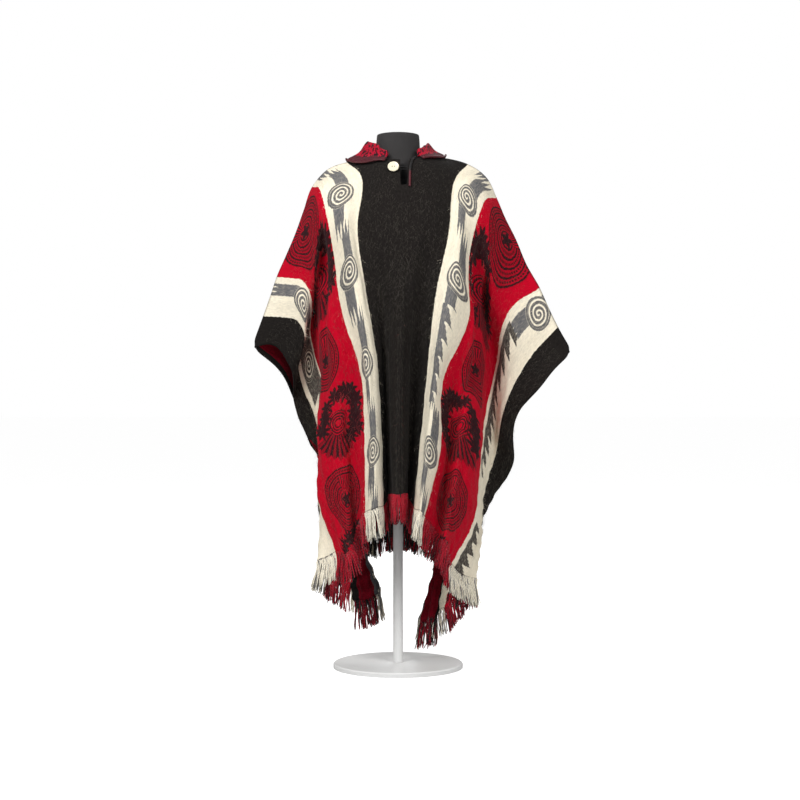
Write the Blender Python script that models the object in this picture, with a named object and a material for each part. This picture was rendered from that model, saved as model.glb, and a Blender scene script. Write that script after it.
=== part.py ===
"""An andean poncho on a limbless dress form with a pole and a round base. Metres, +Z up, front at -Y.

The cloth is worked out from its flat weave. A point of it is named by how far across the weave it lies from
the centre line, and how far along the warp it lies from the shoulder ridge. Short tables say where each fold
line runs in plan, at a few distances from the ridge. The height follows from the warp, which can't stretch.
"""

import math

import bmesh
import bpy
import numpy as np
from mathutils import Matrix, Vector

CLOTH = 0.003  # thickness of the brushed double cloth
GAP = 0.0003  # between pieces that meet
HALF_WIDTH = 0.717  # from the centre line to the selvage
FRONT_HEM = 0.94  # along the warp, from the shoulder ridge
BACK_HEM = 1.03
COLUMN = 0.0255  # usual spacing of the wall's columns, across the weave
ROWS = 18  # of the wall, along the warp
WARP_STEPS = 94  # for working out heights along the warp
EVENING = 1  # rounds of averaging the wall's normals with their neighbours
FLATTEST = 0.12  # least drop for each metre of warp
GATHERED_FROM = 0.33  # along the warp, where the small gathers start

# Distances from the ridge, along the warp, at which the fold tables give a place in plan.
STATIONS = (0.105, 0.25, 0.40, 0.58, 0.76)

# The shoulder ridge: across the weave, then x, y and z.
RIDGE = (
    (-0.717, -0.375, 0.030, 0.815),
    (-0.622, -0.345, 0.025, 0.895),
    (-0.565, -0.325, 0.020, 0.950),
    (-0.515, -0.310, 0.020, 0.995),
    (-0.450, -0.285, 0.020, 1.052),
    (-0.390, -0.262, 0.015, 1.105),
    (-0.330, -0.240, 0.010, 1.165),
    (-0.265, -0.218, 0.000, 1.223),
    (-0.210, -0.180, 0.000, 1.266),
    (-0.153, -0.130, 0.000, 1.285),
    (-0.100, -0.078, 0.000, 1.294),
    (-0.045, -0.025, 0.000, 1.297),
    (0.000, 0.020, 0.000, 1.297),
    (0.045, 0.065, 0.000, 1.297),
    (0.100, 0.122, 0.000, 1.295),
    (0.153, 0.178, 0.000, 1.280),
    (0.210, 0.225, 0.000, 1.246),
    (0.265, 0.250, 0.000, 1.196),
    (0.330, 0.273, 0.000, 1.142),
    (0.390, 0.300, 0.000, 1.088),
    (0.450, 0.326, 0.000, 1.026),
    (0.515, 0.360, 0.000, 0.966),
    (0.565, 0.382, 0.000, 0.917),
    (0.622, 0.407, 0.000, 0.866),
    (0.717, 0.444, 0.000, 0.802),
)

# Fold lines of the front: across the weave, share of the warp's length that small gathers take up, then x
# and y at each station and at the hem.
FRONT_FOLDS = (
    (-0.717, 0.38, (-0.283, -0.266, -0.207, -0.180, -0.170, -0.175),
     (0.010, 0.080, 0.060, 0.040, 0.010, -0.030)),
    (-0.622, 0.24, (-0.245, -0.258, -0.217, -0.187, -0.177, -0.180),
     (-0.030, 0.055, 0.075, 0.035, 0.000, -0.055)),
    (-0.565, 0.18, (-0.240, -0.243, -0.205, -0.192, -0.195, -0.200),
     (-0.045, 0.045, 0.055, 0.015, -0.030, -0.090)),
    (-0.515, 0.16, (-0.228, -0.225, -0.192, -0.195, -0.200, -0.152),
     (-0.045, 0.035, 0.035, -0.010, -0.065, -0.108)),
    (-0.450, 0.11, (-0.223, -0.215, -0.196, -0.200, -0.170, -0.130),
     (-0.050, 0.010, 0.000, -0.060, -0.105, -0.132)),
    (-0.390, 0.05, (-0.213, -0.204, -0.193, -0.165, -0.135, -0.116),
     (-0.076, -0.022, -0.050, -0.105, -0.130, -0.148)),
    (-0.330, 0.06, (-0.202, -0.190, -0.174, -0.130, -0.115, -0.100),
     (-0.088, -0.053, -0.100, -0.105, -0.106, -0.116)),
    (-0.265, 0.04, (-0.190, -0.160, -0.140, -0.090, -0.080, -0.080),
     (-0.095, -0.110, -0.120, -0.135, -0.145, -0.155)),
    (-0.210, 0.00, (-0.140, -0.130, -0.105, -0.075, -0.060, -0.055),
     (-0.085, -0.150, -0.170, -0.185, -0.190, -0.200)),
    (-0.153, 0.00, (-0.090, -0.100, -0.080, -0.052, -0.040, -0.036),
     (-0.080, -0.135, -0.150, -0.155, -0.155, -0.160)),
    (-0.100, 0.00, (-0.050, -0.060, -0.045, -0.032, -0.028, -0.024),
     (-0.092, -0.150, -0.145, -0.128, -0.120, -0.118)),
    (-0.045, 0.00, (-0.015, -0.015, -0.010, -0.015, -0.015, -0.012),
     (-0.098, -0.157, -0.170, -0.165, -0.165, -0.165)),
    (0.000, 0.00, (0.016, 0.013, 0.010, 0.005, 0.002, 0.002),
     (-0.098, -0.158, -0.175, -0.190, -0.200, -0.205)),
    (0.045, 0.00, (0.055, 0.050, 0.030, 0.020, 0.018, 0.016),
     (-0.098, -0.157, -0.170, -0.165, -0.165, -0.165)),
    (0.100, 0.00, (0.100, 0.090, 0.065, 0.045, 0.032, 0.026),
     (-0.092, -0.150, -0.145, -0.128, -0.120, -0.118)),
    (0.153, 0.00, (0.140, 0.125, 0.095, 0.075, 0.058, 0.040),
     (-0.080, -0.135, -0.150, -0.155, -0.155, -0.160)),
    (0.210, 0.00, (0.175, 0.155, 0.135, 0.100, 0.076, 0.054),
     (-0.085, -0.140, -0.165, -0.185, -0.190, -0.200)),
    (0.265, 0.05, (0.210, 0.175, 0.175, 0.110, 0.104, 0.063),
     (-0.090, -0.110, -0.115, -0.135, -0.145, -0.155)),
    (0.330, 0.09, (0.230, 0.195, 0.190, 0.140, 0.120, 0.092),
     (-0.085, -0.060, -0.100, -0.105, -0.105, -0.115)),
    (0.390, 0.08, (0.240, 0.215, 0.210, 0.170, 0.142, 0.114),
     (-0.070, 0.000, -0.030, -0.120, -0.140, -0.150)),
    (0.450, 0.18, (0.255, 0.230, 0.215, 0.205, 0.172, 0.124),
     (-0.040, 0.030, 0.000, -0.070, -0.110, -0.130)),
    (0.515, 0.21, (0.280, 0.255, 0.225, 0.208, 0.192, 0.130),
     (-0.020, 0.045, 0.050, 0.000, -0.045, -0.105)),
    (0.565, 0.27, (0.309, 0.262, 0.246, 0.214, 0.205, 0.165),
     (-0.010, 0.030, 0.070, 0.040, -0.020, -0.070)),
    (0.622, 0.33, (0.337, 0.274, 0.256, 0.222, 0.212, 0.196),
     (0.000, 0.025, 0.080, 0.075, 0.020, -0.040)),
    (0.717, 0.32, (0.375, 0.302, 0.300, 0.240, 0.190, 0.140),
     (-0.035, 0.030, 0.085, 0.100, 0.050, -0.020)),
)

# The same for the back. Its side folds turn inwards low down, so that its corners hang inside the front's.
BACK_FOLDS = (
    (-0.717, 0.38, (-0.303, -0.260, -0.207, -0.175, -0.140, -0.110),
     (0.070, 0.140, 0.125, 0.100, 0.070, 0.032)),
    (-0.622, 0.26, (-0.285, -0.258, -0.224, -0.180, -0.118, -0.058),
     (0.090, 0.165, 0.143, 0.130, 0.115, 0.088)),
    (-0.565, 0.18, (-0.268, -0.255, -0.230, -0.195, -0.138, -0.056),
     (0.100, 0.180, 0.155, 0.150, 0.140, 0.125)),
    (-0.515, 0.18, (-0.260, -0.250, -0.232, -0.208, -0.175, -0.125),
     (0.100, 0.170, 0.165, 0.165, 0.155, 0.150)),
    (-0.450, 0.16, (-0.243, -0.238, -0.225, -0.213, -0.195, -0.168),
     (0.100, 0.155, 0.175, 0.185, 0.180, 0.178)),
    (-0.390, 0.12, (-0.232, -0.225, -0.213, -0.203, -0.198, -0.190),
     (0.090, 0.140, 0.180, 0.205, 0.210, 0.210)),
    (-0.330, 0.05, (-0.215, -0.212, -0.193, -0.172, -0.163, -0.158),
     (0.085, 0.135, 0.185, 0.220, 0.230, 0.235)),
    (-0.265, 0.02, (-0.190, -0.185, -0.160, -0.135, -0.120, -0.115),
     (0.088, 0.135, 0.165, 0.180, 0.185, 0.185)),
    (-0.210, 0.01, (-0.145, -0.145, -0.125, -0.105, -0.090, -0.085),
     (0.085, 0.145, 0.178, 0.205, 0.225, 0.235)),
    (-0.153, 0.00, (-0.095, -0.100, -0.090, -0.075, -0.065, -0.060),
     (0.085, 0.138, 0.162, 0.175, 0.180, 0.180)),
    (-0.100, 0.00, (-0.055, -0.058, -0.055, -0.045, -0.040, -0.035),
     (0.090, 0.145, 0.172, 0.195, 0.215, 0.225)),
    (-0.045, 0.00, (-0.018, -0.020, -0.020, -0.020, -0.020, -0.020),
     (0.094, 0.147, 0.170, 0.178, 0.178, 0.175)),
    (0.000, 0.00, (0.018, 0.015, 0.010, 0.004, 0.002, 0.002),
     (0.095, 0.150, 0.175, 0.190, 0.205, 0.210)),
    (0.045, 0.00, (0.055, 0.047, 0.037, 0.027, 0.022, 0.022),
     (0.094, 0.147, 0.170, 0.178, 0.178, 0.175)),
    (0.100, 0.00, (0.095, 0.083, 0.068, 0.053, 0.042, 0.037),
     (0.090, 0.145, 0.172, 0.195, 0.215, 0.225)),
    (0.153, 0.00, (0.138, 0.122, 0.102, 0.082, 0.068, 0.062),
     (0.085, 0.138, 0.162, 0.175, 0.180, 0.180)),
    (0.210, 0.02, (0.180, 0.163, 0.135, 0.110, 0.093, 0.087),
     (0.085, 0.145, 0.178, 0.205, 0.225, 0.235)),
    (0.265, 0.04, (0.212, 0.197, 0.168, 0.140, 0.122, 0.117),
     (0.088, 0.135, 0.165, 0.180, 0.185, 0.185)),
    (0.330, 0.05, (0.235, 0.222, 0.200, 0.175, 0.163, 0.158),
     (0.085, 0.137, 0.187, 0.220, 0.230, 0.235)),
    (0.390, 0.09, (0.253, 0.237, 0.222, 0.205, 0.198, 0.190),
     (0.085, 0.140, 0.182, 0.205, 0.210, 0.210)),
    (0.450, 0.10, (0.275, 0.252, 0.235, 0.214, 0.195, 0.165),
     (0.090, 0.158, 0.178, 0.188, 0.180, 0.178)),
    (0.515, 0.08, (0.303, 0.267, 0.240, 0.212, 0.178, 0.118),
     (0.085, 0.170, 0.172, 0.168, 0.155, 0.150)),
    (0.565, 0.09, (0.325, 0.277, 0.245, 0.205, 0.150, 0.070),
     (0.080, 0.178, 0.165, 0.155, 0.140, 0.122)),
    (0.622, 0.12, (0.340, 0.287, 0.250, 0.198, 0.130, 0.060),
     (0.090, 0.172, 0.165, 0.140, 0.115, 0.080)),
    (0.717, 0.25, (0.380, 0.305, 0.255, 0.200, 0.145, 0.100),
     (0.070, 0.150, 0.150, 0.115, 0.080, 0.042)),
)

# The neck hole is an oval in the flat weave, and the slit runs down from its front edge.
HOLE_CENTRE = -0.012
HOLE_HALF = 0.088
HOLE_FRONT = 0.075
HOLE_BACK = 0.075
SLIT_HALF = 0.008
SLIT_ROWS = 2  # of the wall's rows
SLIT_FACING = 0.010  # from the slit's right edge to the cord that binds it
SLIT_FLARE = 0.010  # how far that cord turns out towards the collar's end

# The front's cuff edge arches up at the left, over the arm opening.
ARCH_HEIGHT = 0.016
ARCH_REACH = 0.06
ARCH_LENGTH = 0.105

# The collar, by angle round the neck hole from the front centre towards +X: height of its fold, how far the
# fold leans in, and how far its edge reaches out over the cloth.
COLLAR = (
    (32.0, 0.017, 0.004, 0.024),
    (45.0, 0.023, 0.011, 0.024),
    (60.0, 0.030, 0.019, 0.023),
    (90.0, 0.033, 0.026, 0.018),
    (135.0, 0.038, 0.014, 0.030),
    (180.0, 0.041, 0.000, 0.040),
    (225.0, 0.041, 0.004, 0.046),
    (270.0, 0.040, 0.006, 0.048),
    (290.0, 0.039, 0.008, 0.040),
    (303.0, 0.034, 0.006, 0.035),
    (315.0, 0.022, 0.004, 0.032),
    (324.0, 0.017, 0.002, 0.029),
    (332.0, 0.014, 0.000, 0.026),
)
COLLAR_STATIONS = 36
KNIT = 0.003
COLLAR_EASE = 0.0050  # how far the collar's edge stands off the cloth
SEAM_EASE = 0.0030  # the same for its seam
RIDGE_BLEND = 0.25  # near the ridge, the collar leans on the front and the back alike
FOLD_HALF = 0.0036  # half the width of the collar's rounded fold
BINDING_RADIUS = 0.0028

BUTTON_RADIUS = 0.014
BUTTON_THICK = 0.0045
BUTTON_ACROSS = -0.040
BUTTON_ALONG = 0.121
BUTTON_TILT = 0.6  # how far it turns from the cloth towards the front
BUTTON_GAP = 0.0008
SHANK_RADIUS = 0.0022
SHANK_LENGTH = 0.005
LOOP_RADIUS = 0.0009
LOOP_APART = 0.0037  # from the loop's centreline to its cords

LOCK_PITCH = 0.0175  # about how far apart the fringe's locks are
MOST_LOCK = 0.6  # of its pitch that a lock's root may take
LOCK_LENGTH = 0.068
LOCK_WEIGHT = 4.0  # how far gravity turns a lock from the way that the cloth's edge faces
LOCK_WIDTH = 0.0105
LOCK_TIP = 0.55  # a lock's end, as a share of its root
STRIP_HEIGHT = 0.003
STRIP_THICK = 0.0024
STRIP_GAP = 0.0010

# The form's torso: height, half width and half depth.
TORSO = (
    (0.5900, 0.1500, 0.1000),
    (0.6050, 0.1600, 0.1060),
    (0.6700, 0.1680, 0.1090),
    (0.7500, 0.1660, 0.1080),
    (0.8300, 0.1550, 0.1000),
    (0.9000, 0.1480, 0.0940),
    (0.9800, 0.1630, 0.1020),
    (1.0600, 0.1800, 0.1100),
    (1.1308, 0.1915, 0.1044),
    (1.1823, 0.1989, 0.0948),
    (1.2148, 0.2012, 0.0810),
    (1.2348, 0.1982, 0.0670),
    (1.2488, 0.1872, 0.0540),
    (1.2588, 0.1702, 0.0440),
    (1.2668, 0.1482, 0.0350),
    (1.2738, 0.1192, 0.0260),
    (1.2788, 0.0832, 0.0160),
)
TORSO_SIDES = 28
TORSO_POWER = 2.3  # 2 would give ellipses, and more gives squarer sections
# The form's neck: height and radius.
NECK = ((1.230, 0.070), (1.265, 0.062), (1.292, 0.0575), (1.320, 0.056), (1.346, 0.0545), (1.355, 0.0535))
NECK_SIDES = 28
POLE_RADIUS = 0.0125
BASE_RADIUS = 0.165
BASE_THICK = 0.012
BASE_BEVEL = 0.003


def clear_scene():
    for obj in list(bpy.data.objects):
        bpy.data.objects.remove(obj, do_unlink=True)


def material(name, colour, roughness, metallic=0.0):
    made = bpy.data.materials.new(name)
    made.use_nodes = True
    shader = made.node_tree.nodes["Principled BSDF"]
    shader.inputs["Base Color"].default_value = (*colour, 1.0)
    shader.inputs["Roughness"].default_value = roughness
    shader.inputs["Metallic"].default_value = metallic
    return made


def mesh_object(name, points, faces, finish, smooth=True):
    mesh = bpy.data.meshes.new(name)
    mesh.from_pydata([tuple(point) for point in points], [], faces)
    mesh.validate()
    mesh.materials.append(finish)
    if smooth:
        mesh.shade_smooth()
    obj = bpy.data.objects.new(name, mesh)
    bpy.context.scene.collection.objects.link(obj)
    return obj


def smooth_through(knots, values, at):
    """Cubic curve through the values at the knots, read at the given places. Values may have columns."""
    knots = np.asarray(knots, float)
    values = np.asarray(values, float)
    slopes = np.gradient(values, knots, axis=0)
    index = np.clip(np.searchsorted(knots, at, side="right") - 1, 0, len(knots) - 2)
    width = knots[index + 1] - knots[index]
    step = (at - knots[index]) / width
    if values.ndim == 2:
        step = step[:, None]
        width = width[:, None]
    start = (2 * step**3 - 3 * step**2 + 1) * values[index]
    start_slope = (step**3 - 2 * step**2 + step) * width * slopes[index]
    end = (3 * step**2 - 2 * step**3) * values[index + 1]
    end_slope = (step**3 - step**2) * width * slopes[index + 1]
    return start + start_slope + end + end_slope


def drape_line(fold, ridge, hem, along):
    """Points of one warp line: the plan comes from its fold, and the height from the warp's length."""
    count = len(STATIONS) + 1
    knots = (0.0, *STATIONS, hem)
    grid = np.linspace(0.0, hem, WARP_STEPS + 1)
    x = smooth_through(knots, np.concatenate([ridge[:1], fold[1 : 1 + count]]), grid)
    y = smooth_through(knots, np.concatenate([ridge[1:2], fold[1 + count :]]), grid)
    length = np.diff(grid)
    length = np.where(grid[1:] > GATHERED_FROM, length * (1 - fold[0]), length)
    drop = np.sqrt(np.maximum(length**2 - np.diff(x) ** 2 - np.diff(y) ** 2, (FLATTEST * length) ** 2))
    z = ridge[2] - np.concatenate([[0.0], np.cumsum(drop)])
    return np.stack([np.interp(along, grid, values) for values in (x, y, z)], axis=1)


def drape(folds, hem, across, along):
    """Middle surface of the cloth, as an array by column and row. Along holds a row of values a column."""
    table = np.array([(row[0], row[1], *row[2], *row[3]) for row in folds])
    ridge = np.array(RIDGE)
    lines = smooth_through(table[:, 0], table[:, 1:], across)
    starts = smooth_through(ridge[:, 0], ridge[:, 1:], across)
    points = [drape_line(lines[i], starts[i], hem, along[i]) for i in range(len(across))]
    points = np.array(points)
    if folds is FRONT_FOLDS:
        near = np.exp(-(((across + HALF_WIDTH) / ARCH_REACH) ** 2))[:, None]
        rise = np.sin(np.pi * np.clip(along / ARCH_LENGTH, 0.0, 1.0))
        points[:, :, 2] += ARCH_HEIGHT * near * rise
    return points


def neck_edge(across, depth):
    """How far along the warp the neck hole's edge lies."""
    inside = 1 - ((across - HOLE_CENTRE) / HOLE_HALF) ** 2
    return depth * np.sqrt(np.clip(inside, 0.0, None))


def columns():
    """Places across the weave: about evenly spaced between the fold lines, with the slit's two edges."""
    lines = [row[0] for row in FRONT_FOLDS]
    places = []
    for left, right in zip(lines, lines[1:]):
        steps = max(1, round((right - left) / COLUMN))
        places += [left + (right - left) * k / steps for k in range(steps)]
    places.append(lines[-1])
    places = [place for place in places if abs(place) > 1e-9] + [-SLIT_HALF, SLIT_HALF]
    return np.array(sorted(places))


def unit(vectors):
    return vectors / np.linalg.norm(vectors, axis=-1, keepdims=True)


def normals_of(points):
    """Unit normals of a middle surface, evened out so that the wall keeps clear of itself in tight folds."""
    across = np.gradient(points, axis=0)
    along = np.gradient(points, axis=1)
    normal = unit(np.cross(along, across))
    columns_of_points, rows = points.shape[:2]
    for _ in range(EVENING):
        padded = np.pad(normal, ((1, 1), (1, 1), (0, 0)), mode="edge")
        total = np.zeros_like(normal)
        for i in range(3):
            for j in range(3):
                total += padded[i : i + columns_of_points, j : j + rows]
        normal = unit(total)
    return normal


def wall(name, points, normals, thickness, finish, left_out=()):
    """Closed wall round a middle surface given as a grid, without the cells in left_out."""
    count, rows = points.shape[:2]
    outer = (points + normals * thickness / 2).reshape(-1, 3)
    inner = (points - normals * thickness / 2).reshape(-1, 3)
    total = count * rows
    cells = []
    for i in range(count - 1):
        for j in range(rows - 1):
            if (i, j) in left_out:
                continue
            a = i * rows + j
            b = a + 1
            c = a + rows + 1
            d = a + rows
            first = np.linalg.norm(points[i, j] - points[i + 1, j + 1])
            second = np.linalg.norm(points[i, j + 1] - points[i + 1, j])
            cells += [(a, b, c), (a, c, d)] if first < second else [(a, b, d), (b, c, d)]
    edges = {}
    for cell in cells:
        for a, b in zip(cell, cell[1:] + cell[:1]):
            edges[(a, b)] = edges.get((a, b), 0) + 1
    faces = list(cells)
    faces += [tuple(total + a for a in reversed(cell)) for cell in cells]
    faces += [(b, a, total + a, total + b) for a, b in edges if (b, a) not in edges]
    made = mesh_object(name, np.concatenate([outer, inner]), faces, finish)
    tidy = bmesh.new()
    tidy.from_mesh(made.data)
    loose = [vertex for vertex in tidy.verts if not vertex.link_faces]
    bmesh.ops.delete(tidy, geom=loose, context="VERTS")
    bmesh.ops.recalc_face_normals(tidy, faces=tidy.faces)
    tidy.to_mesh(made.data)
    tidy.free()
    return made


def panel(name, folds, hem, hole_depth, front, finish):
    """One side of the poncho: a wall from the shoulder ridge and the neck hole down to the hem."""
    across = columns()
    top = neck_edge(across, hole_depth)
    share = np.arange(ROWS + 1) / ROWS
    along = top[:, None] + (hem - top)[:, None] * share[None, :]
    points = drape(folds, hem, across, along)
    normals = normals_of(points) * (1 if front else -1)
    on_ridge = top < 1e-9
    normals[on_ridge, 0, 1] = 0.0
    normals[:, 0] /= np.linalg.norm(normals[:, 0], axis=1, keepdims=True)
    points[on_ridge, 0, 1] += (-GAP / 2) if front else (GAP / 2)
    left_out = ()
    if front:
        slit = int(np.searchsorted(across, -SLIT_HALF + 1e-9)) - 1
        left_out = tuple((slit, j) for j in range(SLIT_ROWS))
    wall(name, points, normals, CLOTH, finish, left_out)
    return points, normals


def ring(angle, out):
    """Point and normal of the cloth round the neck hole, at a distance out from its edge."""
    front = math.cos(angle) >= 0
    depth = HOLE_FRONT if front else HOLE_BACK
    across = HOLE_CENTRE + (HOLE_HALF + out) * math.sin(angle)
    along = (depth + out) * abs(math.cos(angle))
    sides = ((FRONT_FOLDS, FRONT_HEM, True), (BACK_FOLDS, BACK_HEM, False))
    point, normal = cloth_point(*sides[0 if front else 1][:2], across, along, front)
    if abs(math.cos(angle)) < RIDGE_BLEND:
        folds, hem, other = sides[1 if front else 0]
        beyond = cloth_point(folds, hem, across, 0.0, other)[1]
        normal = unit(normal + beyond * (1 - abs(math.cos(angle)) / RIDGE_BLEND))
    return point, normal


def cloth_point(folds, hem, across, along, front):
    """Point of the cloth's middle surface and its outward normal."""
    step = 0.002
    sides = np.array([across - step, across, across + step])
    ways = np.array([max(along - step, 0.0), along, along + step])
    points = drape(folds, hem, sides, np.tile(ways, (3, 1)))
    normal = np.cross(points[1, 2] - points[1, 0], points[2, 1] - points[0, 1])
    normal /= np.linalg.norm(normal)
    return points[1, 1], normal if front else -normal


def collar_profile(height, lean, reach, drop):
    """The collar's section as (outwards, up) points, from its seam over the fold to its edge."""
    top = -lean
    return [
        (0.0, 0.0),
        (top * 0.6, height * 0.55),
        (top, height - FOLD_HALF),
        (top + FOLD_HALF, height),
        (top + 2 * FOLD_HALF, height - FOLD_HALF),
        (top + 2 * FOLD_HALF + (reach - top - 2 * FOLD_HALF) * 0.35, height * 0.40 + drop * 0.60),
        (reach, drop),
    ]


def make_collar(finish):
    table = np.array(COLLAR)
    angles = np.linspace(table[0, 0], table[-1, 0], COLLAR_STATIONS)
    sizes = smooth_through(table[:, 0], table[:, 1:], angles)
    points = []
    normals = []
    edge = []
    lift = CLOTH / 2 + KNIT / 2 + GAP
    for degrees, (height, lean, reach) in zip(angles, sizes):
        angle = math.radians(degrees)
        seam, seam_normal = ring(angle, 0.002)
        rim, rim_normal = ring(angle, reach)
        base = seam + np.array((0.0, 0.0, CLOTH / 2 + GAP + SEAM_EASE))
        end = rim + rim_normal * (lift + COLLAR_EASE)
        away = end - base
        up = away[2]
        away[2] = 0.0
        out = np.linalg.norm(away)
        away /= out
        profile = collar_profile(height, lean, out, up)
        points.append([base + away * a + np.array((0.0, 0.0, b)) for a, b in profile])
        flat = np.gradient(np.array(profile), axis=0)
        flat /= np.linalg.norm(flat, axis=1, keepdims=True)
        normals.append([-away * b + np.array((0.0, 0.0, a)) for a, b in flat])
        outside, outside_normal = ring(angle, reach + KNIT / 2 + GAP + BINDING_RADIUS)
        edge.append(outside + outside_normal * (CLOTH / 2 + GAP + BINDING_RADIUS + COLLAR_EASE))
    wall("collar", np.array(points), np.array(normals), KNIT, finish)
    return edge


def tube(name, path, radius, finish, resolution=2):
    """A round cord along a path, with closed ends."""
    curve = bpy.data.curves.new(name, "CURVE")
    curve.dimensions = "3D"
    curve.bevel_depth = radius
    curve.bevel_resolution = resolution
    curve.use_fill_caps = True
    spline = curve.splines.new("POLY")
    spline.points.add(len(path) - 1)
    for point, place in zip(spline.points, path):
        point.co = (*place, 1.0)
    curve.materials.append(finish)
    obj = bpy.data.objects.new(name, curve)
    bpy.context.scene.collection.objects.link(obj)
    return obj


def make_slit_binding(finish):
    """The cord that binds the slit's right edge, from the collar's end to the slit's foot."""
    foot = HOLE_FRONT + (FRONT_HEM - HOLE_FRONT) * SLIT_ROWS / ROWS
    path = []
    for along in np.linspace(HOLE_FRONT - 0.003, foot + 0.006, 12):
        near_neck = (foot - along) / (foot - HOLE_FRONT)
        across = SLIT_HALF + SLIT_FACING + SLIT_FLARE * max(near_neck, 0.0) ** 4
        point, normal = cloth_point(FRONT_FOLDS, FRONT_HEM, across, along, True)
        path.append(point + normal * (CLOTH / 2 + GAP + BINDING_RADIUS))
    tube("slit_binding", path, BINDING_RADIUS, finish)


def turned(name, profile, sides, finish):
    """A solid turned round Z from (radius, height) points, from its foot to its top."""
    points = []
    faces = []
    for radius, height in profile:
        for k in range(sides):
            angle = 2 * math.pi * k / sides
            points.append((radius * math.cos(angle), radius * math.sin(angle), height))
    for j in range(len(profile) - 1):
        for k in range(sides):
            a = j * sides + k
            b = j * sides + (k + 1) % sides
            faces.append((a, b, b + sides, a + sides))
    last = (len(profile) - 1) * sides
    faces.append(tuple(reversed(range(sides))))
    faces.append(tuple(last + k for k in range(sides)))
    return mesh_object(name, points, faces, finish)


def make_button(finish, cord):
    """A disc with a rim and a shank, on the slit's left edge, and the loop that holds it from the right."""
    place, normal = cloth_point(FRONT_FOLDS, FRONT_HEM, BUTTON_ACROSS, BUTTON_ALONG, True)
    normal = unit(normal + np.array((0.0, -BUTTON_TILT, 0.0)))
    foot = place + normal * (CLOTH / 2 + BUTTON_GAP)
    profile = [
        (SHANK_RADIUS, 0.0),
        (SHANK_RADIUS, SHANK_LENGTH),
        (BUTTON_RADIUS * 0.93, SHANK_LENGTH),
        (BUTTON_RADIUS, SHANK_LENGTH + BUTTON_THICK * 0.35),
        (BUTTON_RADIUS * 0.97, SHANK_LENGTH + BUTTON_THICK * 0.85),
        (BUTTON_RADIUS * 0.84, SHANK_LENGTH + BUTTON_THICK),
        (BUTTON_RADIUS * 0.66, SHANK_LENGTH + BUTTON_THICK * 0.75),
    ]
    button = turned("button", profile, 24, finish)
    turn = Vector(normal).to_track_quat("Z", "Y").to_matrix().to_4x4()
    button.matrix_world = Matrix.Translation(Vector(foot)) @ turn
    side, side_normal = cloth_point(FRONT_FOLDS, FRONT_HEM, SLIT_HALF + 0.001, BUTTON_ALONG, True)
    height = SHANK_LENGTH * 0.45
    centre = foot + normal * height
    start = side + side_normal * (CLOTH / 2 + 2 * GAP + LOOP_RADIUS)
    right = start - centre
    right /= np.linalg.norm(right)
    up = np.cross(right, normal)
    up /= np.linalg.norm(up)
    up *= math.copysign(1.0, up[2])
    path = [start + up * LOOP_APART]
    for degrees in range(90, 271, 22):
        angle = math.radians(degrees)
        path.append(centre + LOOP_APART * (math.cos(angle) * right + math.sin(angle) * up))
    path.append(start - up * LOOP_APART)
    tube("button_loop", path, LOOP_RADIUS, cord)


def make_fringe(name, points, normals, finish):
    """Locks rooted in a narrow strip that follows a hem, with a corner at every column of the hem."""
    cells = np.linalg.norm(np.diff(points[:, -1], axis=0), axis=1)
    knots = np.concatenate([[0.0], np.cumsum(cells)])
    places = [0.0]
    grows = []
    for start, length in zip(knots, cells):
        count = max(1, round(length / LOCK_PITCH))
        width = min(LOCK_WIDTH, MOST_LOCK * length / count)
        for k in range(count):
            middle = start + length * (k + 0.5) / count
            places += [middle - width / 2, middle + width / 2]
            grows += [False, True]
        places.append(start + length)
        grows.append(False)
    places = np.array(places)
    down = unit(points[:, -1] - points[:, -2])
    side = unit(np.gradient(points[:, -1], axis=0))
    away = unit(np.cross(side, normals[:, -1]))
    away *= np.sign(np.sum(away * down, axis=1, keepdims=True))
    hem = np.stack([np.interp(places, knots, points[:, -1, k]) for k in range(3)], axis=1)
    out = unit(np.stack([np.interp(places, knots, normals[:, -1, k]) for k in range(3)], axis=1))
    free = unit(np.stack([np.interp(places, knots, away[:, k]) for k in range(3)], axis=1))
    way = unit(free + np.array((0.0, 0.0, -LOCK_WEIGHT)))
    thick = STRIP_THICK / 2
    top = hem + free * STRIP_GAP
    foot = top + free * STRIP_HEIGHT
    vertices = []
    for i in range(len(places)):
        vertices += [top[i] + out[i] * thick, top[i] - out[i] * thick]
        vertices += [foot[i] - out[i] * thick, foot[i] + out[i] * thick]
    faces = [(0, 1, 2, 3)]
    last = 4 * (len(places) - 1)
    for i in range(len(places) - 1):
        a = 4 * i
        b = a + 4
        faces += [(a, b, b + 1, a + 1), (a + 1, b + 1, b + 2, a + 2), (a + 3, b + 3, b, a)]
        if not grows[i]:
            faces.append((a + 2, b + 2, b + 3, a + 3))
            continue
        middle = (foot[i] + foot[i + 1]) / 2
        run = (way[i] + way[i + 1]) / 2
        tip = len(vertices)
        for corner in (a + 2, b + 2, b + 3, a + 3):
            vertices.append(middle + (vertices[corner] - middle) * LOCK_TIP + run * LOCK_LENGTH)
        ends = (tip, tip + 1, tip + 2, tip + 3)
        for (r0, r1), (e0, e1) in zip(
            ((a + 2, b + 2), (b + 2, b + 3), (b + 3, a + 3), (a + 3, a + 2)),
            ((0, 1), (1, 2), (2, 3), (3, 0)),
        ):
            faces.append((r0, r1, ends[e1], ends[e0]))
        faces.append(ends)
    faces.append((last, last + 3, last + 2, last + 1))
    made = mesh_object(name, vertices, faces, finish)
    tidy = bmesh.new()
    tidy.from_mesh(made.data)
    bmesh.ops.recalc_face_normals(tidy, faces=tidy.faces)
    tidy.to_mesh(made.data)
    tidy.free()


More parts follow.
